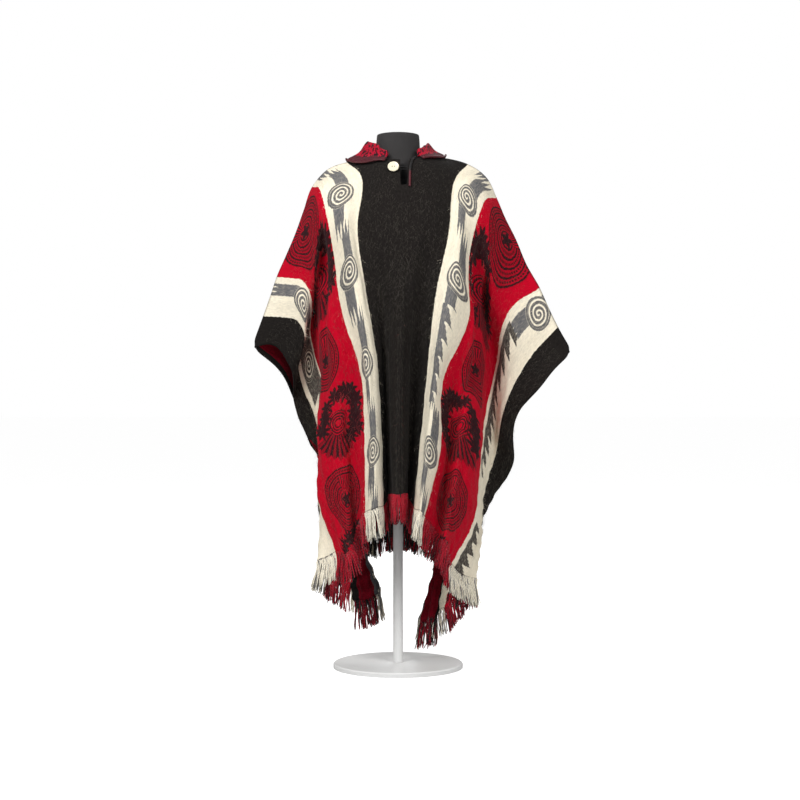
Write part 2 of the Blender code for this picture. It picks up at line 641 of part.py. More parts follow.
def make_form(finish):
    """Torso from rounded sections, joined with a turned neck that has a flat top."""
    points = []
    faces = []
    for height, half_width, half_depth in TORSO:
        for k in range(TORSO_SIDES):
            angle = 2 * math.pi * k / TORSO_SIDES
            x = math.copysign(abs(math.cos(angle)) ** (2 / TORSO_POWER), math.cos(angle))
            y = math.copysign(abs(math.sin(angle)) ** (2 / TORSO_POWER), math.sin(angle))
            points.append((half_width * x, half_depth * y, height))
    for j in range(len(TORSO) - 1):
        for k in range(TORSO_SIDES):
            a = j * TORSO_SIDES + k
            b = j * TORSO_SIDES + (k + 1) % TORSO_SIDES
            faces.append((a, b, b + TORSO_SIDES, a + TORSO_SIDES))
    last = (len(TORSO) - 1) * TORSO_SIDES
    faces.append(tuple(reversed(range(TORSO_SIDES))))
    faces.append(tuple(last + k for k in range(TORSO_SIDES)))
    form = mesh_object("dress_form", points, faces, finish)
    neck = turned("neck_shape", [(radius, height) for height, radius in NECK], NECK_SIDES, finish)
    neck.hide_render = True
    neck.display_type = "WIRE"
    joined = form.modifiers.new("neck", "BOOLEAN")
    joined.operation = "UNION"
    joined.object = neck


def make_stand(finish):
    bottom = TORSO[0][0]
    base = [
        (BASE_RADIUS, 0.0),
        (BASE_RADIUS, BASE_THICK - BASE_BEVEL),
        (BASE_RADIUS - BASE_BEVEL, BASE_THICK),
    ]
    turned("stand_base", base, 48, finish)
    pole = [(POLE_RADIUS, BASE_THICK + GAP), (POLE_RADIUS, bottom - GAP)]
    turned("stand_pole", pole, 20, finish)


def main():
    clear_scene()
    alpaca = material("black red and cream alpaca", (0.35, 0.03, 0.05), 0.95)
    knit = material("red and black knit", (0.42, 0.01, 0.05), 0.95)
    binding = material("dark red binding", (0.16, 0.01, 0.02), 0.9)
    cord = material("black cord", (0.01, 0.01, 0.01), 0.8)
    ivory = material("ivory button", (0.80, 0.74, 0.60), 0.4)
    yarn = material("cream red and black yarn", (0.60, 0.50, 0.42), 0.95)
    jersey = material("charcoal jersey", (0.035, 0.033, 0.032), 0.9)
    lacquer = material("white lacquer", (0.80, 0.80, 0.79), 0.35)
    front = panel("poncho_front", FRONT_FOLDS, FRONT_HEM, HOLE_FRONT, True, alpaca)
    back = panel("poncho_back", BACK_FOLDS, BACK_HEM, HOLE_BACK, False, alpaca)
    edge = make_collar(knit)
    tube("collar_binding", edge, BINDING_RADIUS, binding)
    make_slit_binding(binding)
    make_button(ivory, cord)
    make_fringe("fringe_front", *front, yarn)
    make_fringe("fringe_back", *back, yarn)
    make_form(jersey)
    make_stand(lacquer)


main()
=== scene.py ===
"""Looks of an andean poncho on a limbless dress form. Metres, +Z up, front at -Y.

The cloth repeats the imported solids' drape on a grid nine times finer along the warp and about four times
across it. Each of its points keeps its place in the flat weave, and shader nodes work out the woven pattern
from that.
"""

import math

import bpy
import numpy as np
from mathutils import Matrix, Vector

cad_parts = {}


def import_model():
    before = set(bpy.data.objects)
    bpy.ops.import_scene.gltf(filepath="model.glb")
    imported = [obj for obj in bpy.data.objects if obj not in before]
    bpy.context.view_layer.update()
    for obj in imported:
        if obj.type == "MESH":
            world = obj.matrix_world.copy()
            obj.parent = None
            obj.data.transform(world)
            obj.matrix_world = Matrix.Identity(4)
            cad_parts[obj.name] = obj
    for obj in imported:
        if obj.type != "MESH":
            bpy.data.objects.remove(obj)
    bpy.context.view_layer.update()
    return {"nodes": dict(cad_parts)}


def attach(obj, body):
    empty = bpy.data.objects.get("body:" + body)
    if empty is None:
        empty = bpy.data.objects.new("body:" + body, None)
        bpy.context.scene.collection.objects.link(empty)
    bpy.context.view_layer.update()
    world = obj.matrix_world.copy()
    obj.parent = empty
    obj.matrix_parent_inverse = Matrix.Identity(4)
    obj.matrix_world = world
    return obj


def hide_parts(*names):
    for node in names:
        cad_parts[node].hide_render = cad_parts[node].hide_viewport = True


# The camera, as the photograph was taken.
CAMERA_PLACE = (0.005, -4.0, 0.68)
CAMERA_LENS = 70.6
SENSOR = 36.0

CLOTH = 0.003  # thickness of the brushed double cloth
GAP = 0.0003  # between pieces that meet
HALF_WIDTH = 0.717  # from the centre line to the selvage
FRONT_HEM = 0.94  # along the warp, from the shoulder ridge
BACK_HEM = 1.03
ROWS = 18  # of the wall, along the warp
WARP_STEPS = 94  # for working out heights along the warp
FLATTEST = 0.12  # least drop for each metre of warp
GATHERED_FROM = 0.33  # along the warp, where the small gathers start

# Distances from the ridge, along the warp, at which the fold tables give a place in plan.
STATIONS = (0.105, 0.25, 0.40, 0.58, 0.76)

# The shoulder ridge: across the weave, then x, y and z.
RIDGE = (
    (-0.717, -0.375, 0.030, 0.815),
    (-0.622, -0.345, 0.025, 0.895),
    (-0.565, -0.325, 0.020, 0.950),
    (-0.515, -0.310, 0.020, 0.995),
    (-0.450, -0.285, 0.020, 1.052),
    (-0.390, -0.262, 0.015, 1.105),
    (-0.330, -0.240, 0.010, 1.165),
    (-0.265, -0.218, 0.000, 1.223),
    (-0.210, -0.180, 0.000, 1.266),
    (-0.153, -0.130, 0.000, 1.285),
    (-0.100, -0.078, 0.000, 1.294),
    (-0.045, -0.025, 0.000, 1.297),
    (0.000, 0.020, 0.000, 1.297),
    (0.045, 0.065, 0.000, 1.297),
    (0.100, 0.122, 0.000, 1.295),
    (0.153, 0.178, 0.000, 1.280),
    (0.210, 0.225, 0.000, 1.246),
    (0.265, 0.250, 0.000, 1.196),
    (0.330, 0.273, 0.000, 1.142),
    (0.390, 0.300, 0.000, 1.088),
    (0.450, 0.326, 0.000, 1.026),
    (0.515, 0.360, 0.000, 0.966),
    (0.565, 0.382, 0.000, 0.917),
    (0.622, 0.407, 0.000, 0.866),
    (0.717, 0.444, 0.000, 0.802),
)

# Fold lines of the front: across the weave, share of the warp's length that small gathers take up, then x
# and y at each station and at the hem.
FRONT_FOLDS = (
    (-0.717, 0.38, (-0.283, -0.266, -0.207, -0.180, -0.170, -0.175),
     (0.010, 0.080, 0.060, 0.040, 0.010, -0.030)),
    (-0.622, 0.24, (-0.245, -0.258, -0.217, -0.187, -0.177, -0.180),
     (-0.030, 0.055, 0.075, 0.035, 0.000, -0.055)),
    (-0.565, 0.18, (-0.240, -0.243, -0.205, -0.192, -0.195, -0.200),
     (-0.045, 0.045, 0.055, 0.015, -0.030, -0.090)),
    (-0.515, 0.16, (-0.228, -0.225, -0.192, -0.195, -0.200, -0.152),
     (-0.045, 0.035, 0.035, -0.010, -0.065, -0.108)),
    (-0.450, 0.11, (-0.223, -0.215, -0.196, -0.200, -0.170, -0.130),
     (-0.050, 0.010, 0.000, -0.060, -0.105, -0.132)),
    (-0.390, 0.05, (-0.213, -0.204, -0.193, -0.165, -0.135, -0.116),
     (-0.076, -0.022, -0.050, -0.105, -0.130, -0.148)),
    (-0.330, 0.06, (-0.202, -0.190, -0.174, -0.130, -0.115, -0.100),
     (-0.088, -0.053, -0.100, -0.105, -0.106, -0.116)),
    (-0.265, 0.04, (-0.190, -0.160, -0.140, -0.090, -0.080, -0.080),
     (-0.095, -0.110, -0.120, -0.135, -0.145, -0.155)),
    (-0.210, 0.00, (-0.140, -0.130, -0.105, -0.075, -0.060, -0.055),
     (-0.085, -0.150, -0.170, -0.185, -0.190, -0.200)),
    (-0.153, 0.00, (-0.090, -0.100, -0.080, -0.052, -0.040, -0.036),
     (-0.080, -0.135, -0.150, -0.155, -0.155, -0.160)),
    (-0.100, 0.00, (-0.050, -0.060, -0.045, -0.032, -0.028, -0.024),
     (-0.092, -0.150, -0.145, -0.128, -0.120, -0.118)),
    (-0.045, 0.00, (-0.015, -0.015, -0.010, -0.015, -0.015, -0.012),
     (-0.098, -0.157, -0.170, -0.165, -0.165, -0.165)),
    (0.000, 0.00, (0.016, 0.013, 0.010, 0.005, 0.002, 0.002),
     (-0.098, -0.158, -0.175, -0.190, -0.200, -0.205)),
    (0.045, 0.00, (0.055, 0.050, 0.030, 0.020, 0.018, 0.016),
     (-0.098, -0.157, -0.170, -0.165, -0.165, -0.165)),
    (0.100, 0.00, (0.100, 0.090, 0.065, 0.045, 0.032, 0.026),
     (-0.092, -0.150, -0.145, -0.128, -0.120, -0.118)),
    (0.153, 0.00, (0.140, 0.125, 0.095, 0.075, 0.058, 0.040),
     (-0.080, -0.135, -0.150, -0.155, -0.155, -0.160)),
    (0.210, 0.00, (0.175, 0.155, 0.135, 0.100, 0.076, 0.054),
     (-0.085, -0.140, -0.165, -0.185, -0.190, -0.200)),
    (0.265, 0.05, (0.210, 0.175, 0.175, 0.110, 0.104, 0.063),
     (-0.090, -0.110, -0.115, -0.135, -0.145, -0.155)),
    (0.330, 0.09, (0.230, 0.195, 0.190, 0.140, 0.120, 0.092),
     (-0.085, -0.060, -0.100, -0.105, -0.105, -0.115)),
    (0.390, 0.08, (0.240, 0.215, 0.210, 0.170, 0.142, 0.114),
     (-0.070, 0.000, -0.030, -0.120, -0.140, -0.150)),
    (0.450, 0.18, (0.255, 0.230, 0.215, 0.205, 0.172, 0.124),
     (-0.040, 0.030, 0.000, -0.070, -0.110, -0.130)),
    (0.515, 0.21, (0.280, 0.255, 0.225, 0.208, 0.192, 0.130),
     (-0.020, 0.045, 0.050, 0.000, -0.045, -0.105)),
    (0.565, 0.27, (0.309, 0.262, 0.246, 0.214, 0.205, 0.165),
     (-0.010, 0.030, 0.070, 0.040, -0.020, -0.070)),
    (0.622, 0.33, (0.337, 0.274, 0.256, 0.222, 0.212, 0.196),
     (0.000, 0.025, 0.080, 0.075, 0.020, -0.040)),
    (0.717, 0.32, (0.375, 0.302, 0.300, 0.240, 0.190, 0.140),
     (-0.035, 0.030, 0.085, 0.100, 0.050, -0.020)),
)

# The same for the back. Its side folds turn inwards low down, so that its corners hang inside the front's.
BACK_FOLDS = (
    (-0.717, 0.38, (-0.303, -0.260, -0.207, -0.175, -0.140, -0.110),
     (0.070, 0.140, 0.125, 0.100, 0.070, 0.032)),
    (-0.622, 0.26, (-0.285, -0.258, -0.224, -0.180, -0.118, -0.058),
     (0.090, 0.165, 0.143, 0.130, 0.115, 0.088)),
    (-0.565, 0.18, (-0.268, -0.255, -0.230, -0.195, -0.138, -0.056),
     (0.100, 0.180, 0.155, 0.150, 0.140, 0.125)),
    (-0.515, 0.18, (-0.260, -0.250, -0.232, -0.208, -0.175, -0.125),
     (0.100, 0.170, 0.165, 0.165, 0.155, 0.150)),
    (-0.450, 0.16, (-0.243, -0.238, -0.225, -0.213, -0.195, -0.168),
     (0.100, 0.155, 0.175, 0.185, 0.180, 0.178)),
    (-0.390, 0.12, (-0.232, -0.225, -0.213, -0.203, -0.198, -0.190),
     (0.090, 0.140, 0.180, 0.205, 0.210, 0.210)),
    (-0.330, 0.05, (-0.215, -0.212, -0.193, -0.172, -0.163, -0.158),
     (0.085, 0.135, 0.185, 0.220, 0.230, 0.235)),
    (-0.265, 0.02, (-0.190, -0.185, -0.160, -0.135, -0.120, -0.115),
     (0.088, 0.135, 0.165, 0.180, 0.185, 0.185)),
    (-0.210, 0.01, (-0.145, -0.145, -0.125, -0.105, -0.090, -0.085),
     (0.085, 0.145, 0.178, 0.205, 0.225, 0.235)),
    (-0.153, 0.00, (-0.095, -0.100, -0.090, -0.075, -0.065, -0.060),
     (0.085, 0.138, 0.162, 0.175, 0.180, 0.180)),
    (-0.100, 0.00, (-0.055, -0.058, -0.055, -0.045, -0.040, -0.035),
     (0.090, 0.145, 0.172, 0.195, 0.215, 0.225)),
    (-0.045, 0.00, (-0.018, -0.020, -0.020, -0.020, -0.020, -0.020),
     (0.094, 0.147, 0.170, 0.178, 0.178, 0.175)),
    (0.000, 0.00, (0.018, 0.015, 0.010, 0.004, 0.002, 0.002),
     (0.095, 0.150, 0.175, 0.190, 0.205, 0.210)),
    (0.045, 0.00, (0.055, 0.047, 0.037, 0.027, 0.022, 0.022),
     (0.094, 0.147, 0.170, 0.178, 0.178, 0.175)),
    (0.100, 0.00, (0.095, 0.083, 0.068, 0.053, 0.042, 0.037),
     (0.090, 0.145, 0.172, 0.195, 0.215, 0.225)),
    (0.153, 0.00, (0.138, 0.122, 0.102, 0.082, 0.068, 0.062),
     (0.085, 0.138, 0.162, 0.175, 0.180, 0.180)),
    (0.210, 0.02, (0.180, 0.163, 0.135, 0.110, 0.093, 0.087),
     (0.085, 0.145, 0.178, 0.205, 0.225, 0.235)),
    (0.265, 0.04, (0.212, 0.197, 0.168, 0.140, 0.122, 0.117),
     (0.088, 0.135, 0.165, 0.180, 0.185, 0.185)),
    (0.330, 0.05, (0.235, 0.222, 0.200, 0.175, 0.163, 0.158),
     (0.085, 0.137, 0.187, 0.220, 0.230, 0.235)),
    (0.390, 0.09, (0.253, 0.237, 0.222, 0.205, 0.198, 0.190),
     (0.085, 0.140, 0.182, 0.205, 0.210, 0.210)),
    (0.450, 0.10, (0.275, 0.252, 0.235, 0.214, 0.195, 0.165),
     (0.090, 0.158, 0.178, 0.188, 0.180, 0.178)),
    (0.515, 0.08, (0.303, 0.267, 0.240, 0.212, 0.178, 0.118),
     (0.085, 0.170, 0.172, 0.168, 0.155, 0.150)),
    (0.565, 0.09, (0.325, 0.277, 0.245, 0.205, 0.150, 0.070),
     (0.080, 0.178, 0.165, 0.155, 0.140, 0.122)),
    (0.622, 0.12, (0.340, 0.287, 0.250, 0.198, 0.130, 0.060),
     (0.090, 0.172, 0.165, 0.140, 0.115, 0.080)),
    (0.717, 0.25, (0.380, 0.305, 0.255, 0.200, 0.145, 0.100),
     (0.070, 0.150, 0.150, 0.115, 0.080, 0.042)),
)

# The neck hole is an oval in the flat weave, and the slit runs down from its front edge.
HOLE_CENTRE = -0.012
HOLE_HALF = 0.088
HOLE_FRONT = 0.075
HOLE_BACK = 0.075
SLIT_HALF = 0.008
SLIT_ROWS = 2  # of the wall's rows
SLIT_FACING = 0.010  # from the slit's right edge to the cord that binds it
SLIT_FLARE = 0.010  # how far that cord turns out towards the collar's end
SLIT_FOOT = HOLE_FRONT + (FRONT_HEM - HOLE_FRONT) * SLIT_ROWS / ROWS  # along the warp

# The front's cuff edge arches up at the left, over the arm opening.
ARCH_HEIGHT = 0.016
ARCH_REACH = 0.06
ARCH_LENGTH = 0.105

# The collar, by angle round the neck hole from the front centre towards +X: height of its fold, how far the
# fold leans in, and how far its edge reaches out over the cloth.
COLLAR = (
    (32.0, 0.017, 0.004, 0.024),
    (45.0, 0.023, 0.011, 0.024),
    (60.0, 0.030, 0.019, 0.023),
    (90.0, 0.033, 0.026, 0.018),
    (135.0, 0.038, 0.014, 0.030),
    (180.0, 0.041, 0.000, 0.040),
    (225.0, 0.041, 0.004, 0.046),
    (270.0, 0.040, 0.006, 0.048),
    (290.0, 0.039, 0.008, 0.040),
    (303.0, 0.034, 0.006, 0.035),
    (315.0, 0.022, 0.004, 0.032),
    (324.0, 0.017, 0.002, 0.029),
    (332.0, 0.014, 0.000, 0.026),
)
KNIT = 0.003
COLLAR_EASE = 0.0050  # how far the collar's edge stands off the cloth
SEAM_EASE = 0.0030  # the same for its seam
RIDGE_BLEND = 0.25  # near the ridge, the collar leans on the front and the back alike
FOLD_HALF = 0.0036  # half the width of the collar's rounded fold
BINDING_RADIUS = 0.0028

BUTTON_RADIUS = 0.014
BUTTON_THICK = 0.0045
BUTTON_ACROSS = -0.040
BUTTON_ALONG = 0.121
BUTTON_TILT = 0.6  # how far it turns from the cloth towards the front
BUTTON_GAP = 0.0008
SHANK_RADIUS = 0.0022
SHANK_LENGTH = 0.005
LOOP_RADIUS = 0.0009
LOOP_APART = 0.0037  # from the loop's centreline to its cords

LOCK_LENGTH = 0.068

# The form's torso: height, half width and half depth.
TORSO = (
    (0.5900, 0.1500, 0.1000),
    (0.6050, 0.1600, 0.1060),
    (0.6700, 0.1680, 0.1090),
    (0.7500, 0.1660, 0.1080),
    (0.8300, 0.1550, 0.1000),
    (0.9000, 0.1480, 0.0940),
    (0.9800, 0.1630, 0.1020),
    (1.0600, 0.1800, 0.1100),
    (1.1308, 0.1915, 0.1044),
    (1.1823, 0.1989, 0.0948),
    (1.2148, 0.2012, 0.0810),
    (1.2348, 0.1982, 0.0670),
    (1.2488, 0.1872, 0.0540),
    (1.2588, 0.1702, 0.0440),
    (1.2668, 0.1482, 0.0350),
    (1.2738, 0.1192, 0.0260),
    (1.2788, 0.0832, 0.0160),
)
TORSO_POWER = 2.3  # 2 would give ellipses, and more gives squarer sections
# The form's neck: height and radius.
NECK = ((1.230, 0.070), (1.265, 0.062), (1.292, 0.0575), (1.320, 0.056), (1.346, 0.0545), (1.355, 0.0535))

# The finer grid of the cloth. It divides each row of the solids evenly, so that the slit's end is a row too.
FINE_COLUMNS = 231
ROWS_EACH = 9
FINE_CLOTH = 0.0026
FINE_EVENING = 5

# Creases pressed into the drape: across, from and to along the warp, half width, depth, and drift across.
FRONT_CREASES = (
    (-0.052, 0.24, 0.90, 0.011, 0.0035, 0.010),
    (-0.018, 0.36, 0.94, 0.009, -0.0030, -0.004),
    (0.024, 0.30, 0.94, 0.010, -0.0032, 0.006),
    (0.060, 0.22, 0.86, 0.012, 0.0036, -0.012),
    (-0.120, 0.20, 0.62, 0.014, -0.0030, 0.020),
    (0.118, 0.24, 0.70, 0.014, -0.0032, -0.018),
    (-0.182, 0.26, 0.80, 0.013, 0.0030, 0.012),
    (0.186, 0.22, 0.78, 0.013, 0.0030, -0.014),
    (-0.290, 0.08, 0.52, 0.024, -0.0170, -0.100),
    (-0.355, 0.22, 0.70, 0.014, 0.0040, 0.030),
    (0.295, 0.10, 0.54, 0.024, -0.0180, 0.090),
    (0.360, 0.20, 0.66, 0.015, 0.0040, -0.030),
    (-0.430, 0.16, 0.60, 0.015, -0.0036, 0.030),
    (0.440, 0.14, 0.58, 0.015, 0.0036, -0.026),
    (-0.560, 0.10, 0.50, 0.016, 0.0030, 0.024),
    (0.585, 0.12, 0.56, 0.016, -0.0030, -0.022),
)
BACK_CREASES = (
    (-0.030, 0.28, 1.00, 0.010, 0.0034, 0.008),
    (0.026, 0.34, 1.00, 0.010, -0.0032, -0.006),
    (-0.080, 0.24, 0.92, 0.012, -0.0034, 0.012),
    (0.084, 0.26, 0.96, 0.012, 0.0034, -0.010),
    (-0.180, 0.22, 0.90, 0.013, 0.0032, 0.016),
    (0.178, 0.24, 0.88, 0.013, -0.0032, -0.016),
    (-0.300, 0.20, 0.78, 0.015, -0.0038, 0.030),
    (0.298, 0.18, 0.80, 0.015, 0.0038, -0.028),
    (-0.420, 0.18, 0.72, 0.015, 0.0036, 0.026),
    (0.425, 0.20, 0.70, 0.015, -0.0036, -0.026),
    (-0.575, 0.16, 0.62, 0.016, -0.0030, 0.022),
    (0.580, 0.14, 0.64, 0.016, 0.0030, -0.020),
)
CREASE_FROM = 0.16  # nearer the ridge the cloth lies on the form, and stays smooth
CREASE_FULL = 0.30
SLEEVE_FROM = 0.27  # across: the sleeves hang free of the form, so their creases start higher
SLEEVE_HIGHER = 0.09
CORNER_PULL = 0.007  # the cuffs' upper corners are drawn in, which rounds them
CORNER_REACH = 0.016
SLIT_PULL = 0.0052  # the slit's edges are drawn apart this far each
PULL_REACH = 0.022
# Pleats down the warp and gathers across it: depth and spacing. The back's are deeper than a front like this
# suggests. They bring the back's area up to 0.74 of its flat cut, which its drape alone leaves at 0.63.
FRONT_PLEATS = (0.0012, 0.047)
BACK_PLEATS = (0.0056, 0.046)
FRONT_GATHERS = (0.0036, 0.052)
BACK_GATHERS = (0.0080, 0.052)
FRONT_RELIEF = (FRONT_CREASES, FRONT_PLEATS, FRONT_GATHERS)
BACK_RELIEF = (BACK_CREASES, BACK_PLEATS, BACK_GATHERS)

# The weave: how far across each stripe reaches, from the centre line.
BLACK_TO = 0.153
INNER_PALE_TO = 0.265
RED_TO = 0.515
OUTER_PALE_TO = 0.622
SELVAGE = 0.701  # beyond it both sides are black
INNER_DISC = 0.217  # across, where the discs of the inner pale stripes have their centres
OUTER_DISC = 0.562
RED_MIDDLE = 0.385
# How the red motifs lean in the weave, by side and along the warp: down for across, and across for down.
LEANS = {
    -1: ((0.06, 0.0, 0.0), (0.24, -0.2, 0.4), (0.43, -0.49, 0.90), (0.62, -0.44, 0.79), (0.81, -0.10, 0.69)),
    1: ((0.05, 0.0, 0.0), (0.25, -0.4, 0.4), (0.44, -0.80, 0.79), (0.63, -0.08, 0.40), (0.83, -0.42, 0.53)),
}

# Along the warp, the centres of the discs and of the medallions, for each stripe and side.
DISCS = {
    ("inner", -1): (0.141, 0.346, 0.580, 0.794),
    ("inner", 1): (0.139, 0.356, 0.572, 0.787),
    ("outer", -1): (0.108, 0.304, 0.510, 0.720, 0.930),
    ("outer", 1): (0.031, 0.240, 0.450, 0.660, 0.870),
}
MEDALLIONS = {-1: (0.055, 0.435, 0.810), 1: (0.040, 0.450, 0.832)}
DISC_PITCH = 0.213
MEDALLION_PITCH = 0.374
# Stretches of a stripe that have a saw-tooth ribbon (1), discs on a dark ground (2) or no motif (-1).
STRETCHES = {
    ("inner", -1): (),
    ("inner", 1): ((0.425, 0.668, 1),),
    ("outer", -1): ((0.190, 0.400, 2), (0.400, 0.800, 1), (0.800, 0.930, -1)),
    ("outer", 1): ((0.115, 0.560, 1), (0.560, 0.760, -1), (0.760, 0.935, 1)),
}

CREAM = (0.81, 0.74, 0.59)
GREY = (0.108, 0.108, 0.116)
RED = (0.47, 0.002, 0.017)
DEEP_RED = (0.17, 0.004, 0.012)
INK = (0.022, 0.009, 0.011)
BLACK = (0.0135, 0.0115, 0.0105)
UMBER = (0.048, 0.040, 0.036)
CORD_BLACK = (0.010, 0.009, 0.009)
CORD_RED = (0.085, 0.004, 0.010)
CORD_FOOT = (0.110, 0.006, 0.014)
CORD_FOOT_FROM = 0.066  # along the slit's cord, where its red foot starts


def smooth_through(knots, values, at):
    """Cubic curve through the values at the knots, read at the given places. Values may have columns."""
    knots = np.asarray(knots, float)
    values = np.asarray(values, float)
    slopes = np.gradient(values, knots, axis=0)
    index = np.clip(np.searchsorted(knots, at, side="right") - 1, 0, len(knots) - 2)
    width = knots[index + 1] - knots[index]
    step = (at - knots[index]) / width
    if values.ndim == 2:
        step = step[:, None]
        width = width[:, None]
    start = (2 * step**3 - 3 * step**2 + 1) * values[index]
    start_slope = (step**3 - 2 * step**2 + step) * width * slopes[index]
    end = (3 * step**2 - 2 * step**3) * values[index + 1]
    end_slope = (step**3 - step**2) * width * slopes[index + 1]
    return start + start_slope + end + end_slope


def drape_line(fold, ridge, hem, along):
    """Points of one warp line: the plan comes from its fold, and the height from the warp's length."""
    count = len(STATIONS) + 1
    knots = (0.0, *STATIONS, hem)
    grid = np.linspace(0.0, hem, WARP_STEPS + 1)
    x = smooth_through(knots, np.concatenate([ridge[:1], fold[1 : 1 + count]]), grid)
    y = smooth_through(knots, np.concatenate([ridge[1:2], fold[1 + count :]]), grid)
    length = np.diff(grid)
    length = np.where(grid[1:] > GATHERED_FROM, length * (1 - fold[0]), length)
    drop = np.sqrt(np.maximum(length**2 - np.diff(x) ** 2 - np.diff(y) ** 2, (FLATTEST * length) ** 2))
    z = ridge[2] - np.concatenate([[0.0], np.cumsum(drop)])
    return np.stack([np.interp(along, grid, values) for values in (x, y, z)], axis=1)


def drape(folds, hem, across, along):
    """Middle surface of the cloth, as an array by column and row. Along holds a row of values a column."""
    table = np.array([(row[0], row[1], *row[2], *row[3]) for row in folds])
    ridge = np.array(RIDGE)
    lines = smooth_through(table[:, 0], table[:, 1:], across)
    starts = smooth_through(ridge[:, 0], ridge[:, 1:], across)
    points = [drape_line(lines[i], starts[i], hem, along[i]) for i in range(len(across))]
    points = np.array(points)
    if folds is FRONT_FOLDS:
        near = np.exp(-(((across + HALF_WIDTH) / ARCH_REACH) ** 2))[:, None]
        rise = np.sin(np.pi * np.clip(along / ARCH_LENGTH, 0.0, 1.0))
        points[:, :, 2] += ARCH_HEIGHT * near * rise
    return points


def neck_edge(across, depth):
    """How far along the warp the neck hole's edge lies."""
    inside = 1 - ((across - HOLE_CENTRE) / HOLE_HALF) ** 2
    return depth * np.sqrt(np.clip(inside, 0.0, None))


def unit(vectors):
    return vectors / np.linalg.norm(vectors, axis=-1, keepdims=True)


def normals_of(points, rounds):
    """Unit normals of a middle surface, evened out so that the wall keeps clear of itself in tight folds."""
    across = np.gradient(points, axis=0)
    along = np.gradient(points, axis=1)
    normal = unit(np.cross(along, across))
    columns_of_points, rows = points.shape[:2]
    for _ in range(rounds):
        padded = np.pad(normal, ((1, 1), (1, 1), (0, 0)), mode="edge")
        total = np.zeros_like(normal)
        for i in range(3):
            for j in range(3):
                total += padded[i : i + columns_of_points, j : j + rows]
        normal = unit(total)
    return normal


def ring(angle, out):
    """Point and normal of the cloth round the neck hole, at a distance out from its edge."""
    front = math.cos(angle) >= 0
    depth = HOLE_FRONT if front else HOLE_BACK
    across = HOLE_CENTRE + (HOLE_HALF + out) * math.sin(angle)
    along = (depth + out) * abs(math.cos(angle))
    sides = ((FRONT_FOLDS, FRONT_HEM, True), (BACK_FOLDS, BACK_HEM, False))
    point, normal = cloth_point(*sides[0 if front else 1][:2], across, along, front)
    if abs(math.cos(angle)) < RIDGE_BLEND:
        folds, hem, other = sides[1 if front else 0]
        beyond = cloth_point(folds, hem, across, 0.0, other)[1]
        normal = unit(normal + beyond * (1 - abs(math.cos(angle)) / RIDGE_BLEND))
    return point, normal


def cloth_point(folds, hem, across, along, front):
    """Point of the cloth's middle surface and its outward normal."""
    step = 0.002
    sides = np.array([across - step, across, across + step])
    ways = np.array([max(along - step, 0.0), along, along + step])
    points = drape(folds, hem, sides, np.tile(ways, (3, 1)))
    normal = np.cross(points[1, 2] - points[1, 0], points[2, 1] - points[0, 1])
    normal /= np.linalg.norm(normal)
    return points[1, 1], normal if front else -normal


def collar_profile(height, lean, reach, drop):
    """The collar's section as (outwards, up) points, from its seam over the fold to its edge."""
    top = -lean
    return [
        (0.0, 0.0),
        (top * 0.6, height * 0.55),
        (top, height - FOLD_HALF),
        (top + FOLD_HALF, height),
        (top + 2 * FOLD_HALF, height - FOLD_HALF),
        (top + 2 * FOLD_HALF + (reach - top - 2 * FOLD_HALF) * 0.35, height * 0.40 + drop * 0.60),
        (reach, drop),
    ]


def ring_faces(sides, rings, first=0):
    """Faces that join rings of points into a closed tube. First is the number of the first point."""
    faces = []
    for j in range(rings - 1):
        for k in range(sides):
            a = first + j * sides + k
            b = first + j * sides + (k + 1) % sides
            faces.append((a, b, b + sides, a + sides))
    last = first + (rings - 1) * sides
    faces.append(tuple(first + k for k in reversed(range(sides))))
    faces.append(tuple(last + k for k in range(sides)))
    return faces


def ringed(name, points, sides, finish):
    """A closed solid from rings of points, each with that many sides."""
    mesh = bpy.data.meshes.new(name)
    mesh.from_pydata(points, [], ring_faces(sides, len(points) // sides))
    mesh.shade_smooth()
    mesh.materials.append(finish)
    return link(bpy.data.objects.new(name, mesh))


def turned(name, profile, sides, finish):
    """A solid turned round Z from (radius, height) points, from its foot to its top."""
    points = []
    for radius, height in profile:
        for k in range(sides):
            angle = 2 * math.pi * k / sides
            points.append((radius * math.cos(angle), radius * math.sin(angle), height))
    return ringed(name, points, sides, finish)


def link(obj):
    bpy.context.scene.collection.objects.link(obj)
    return obj


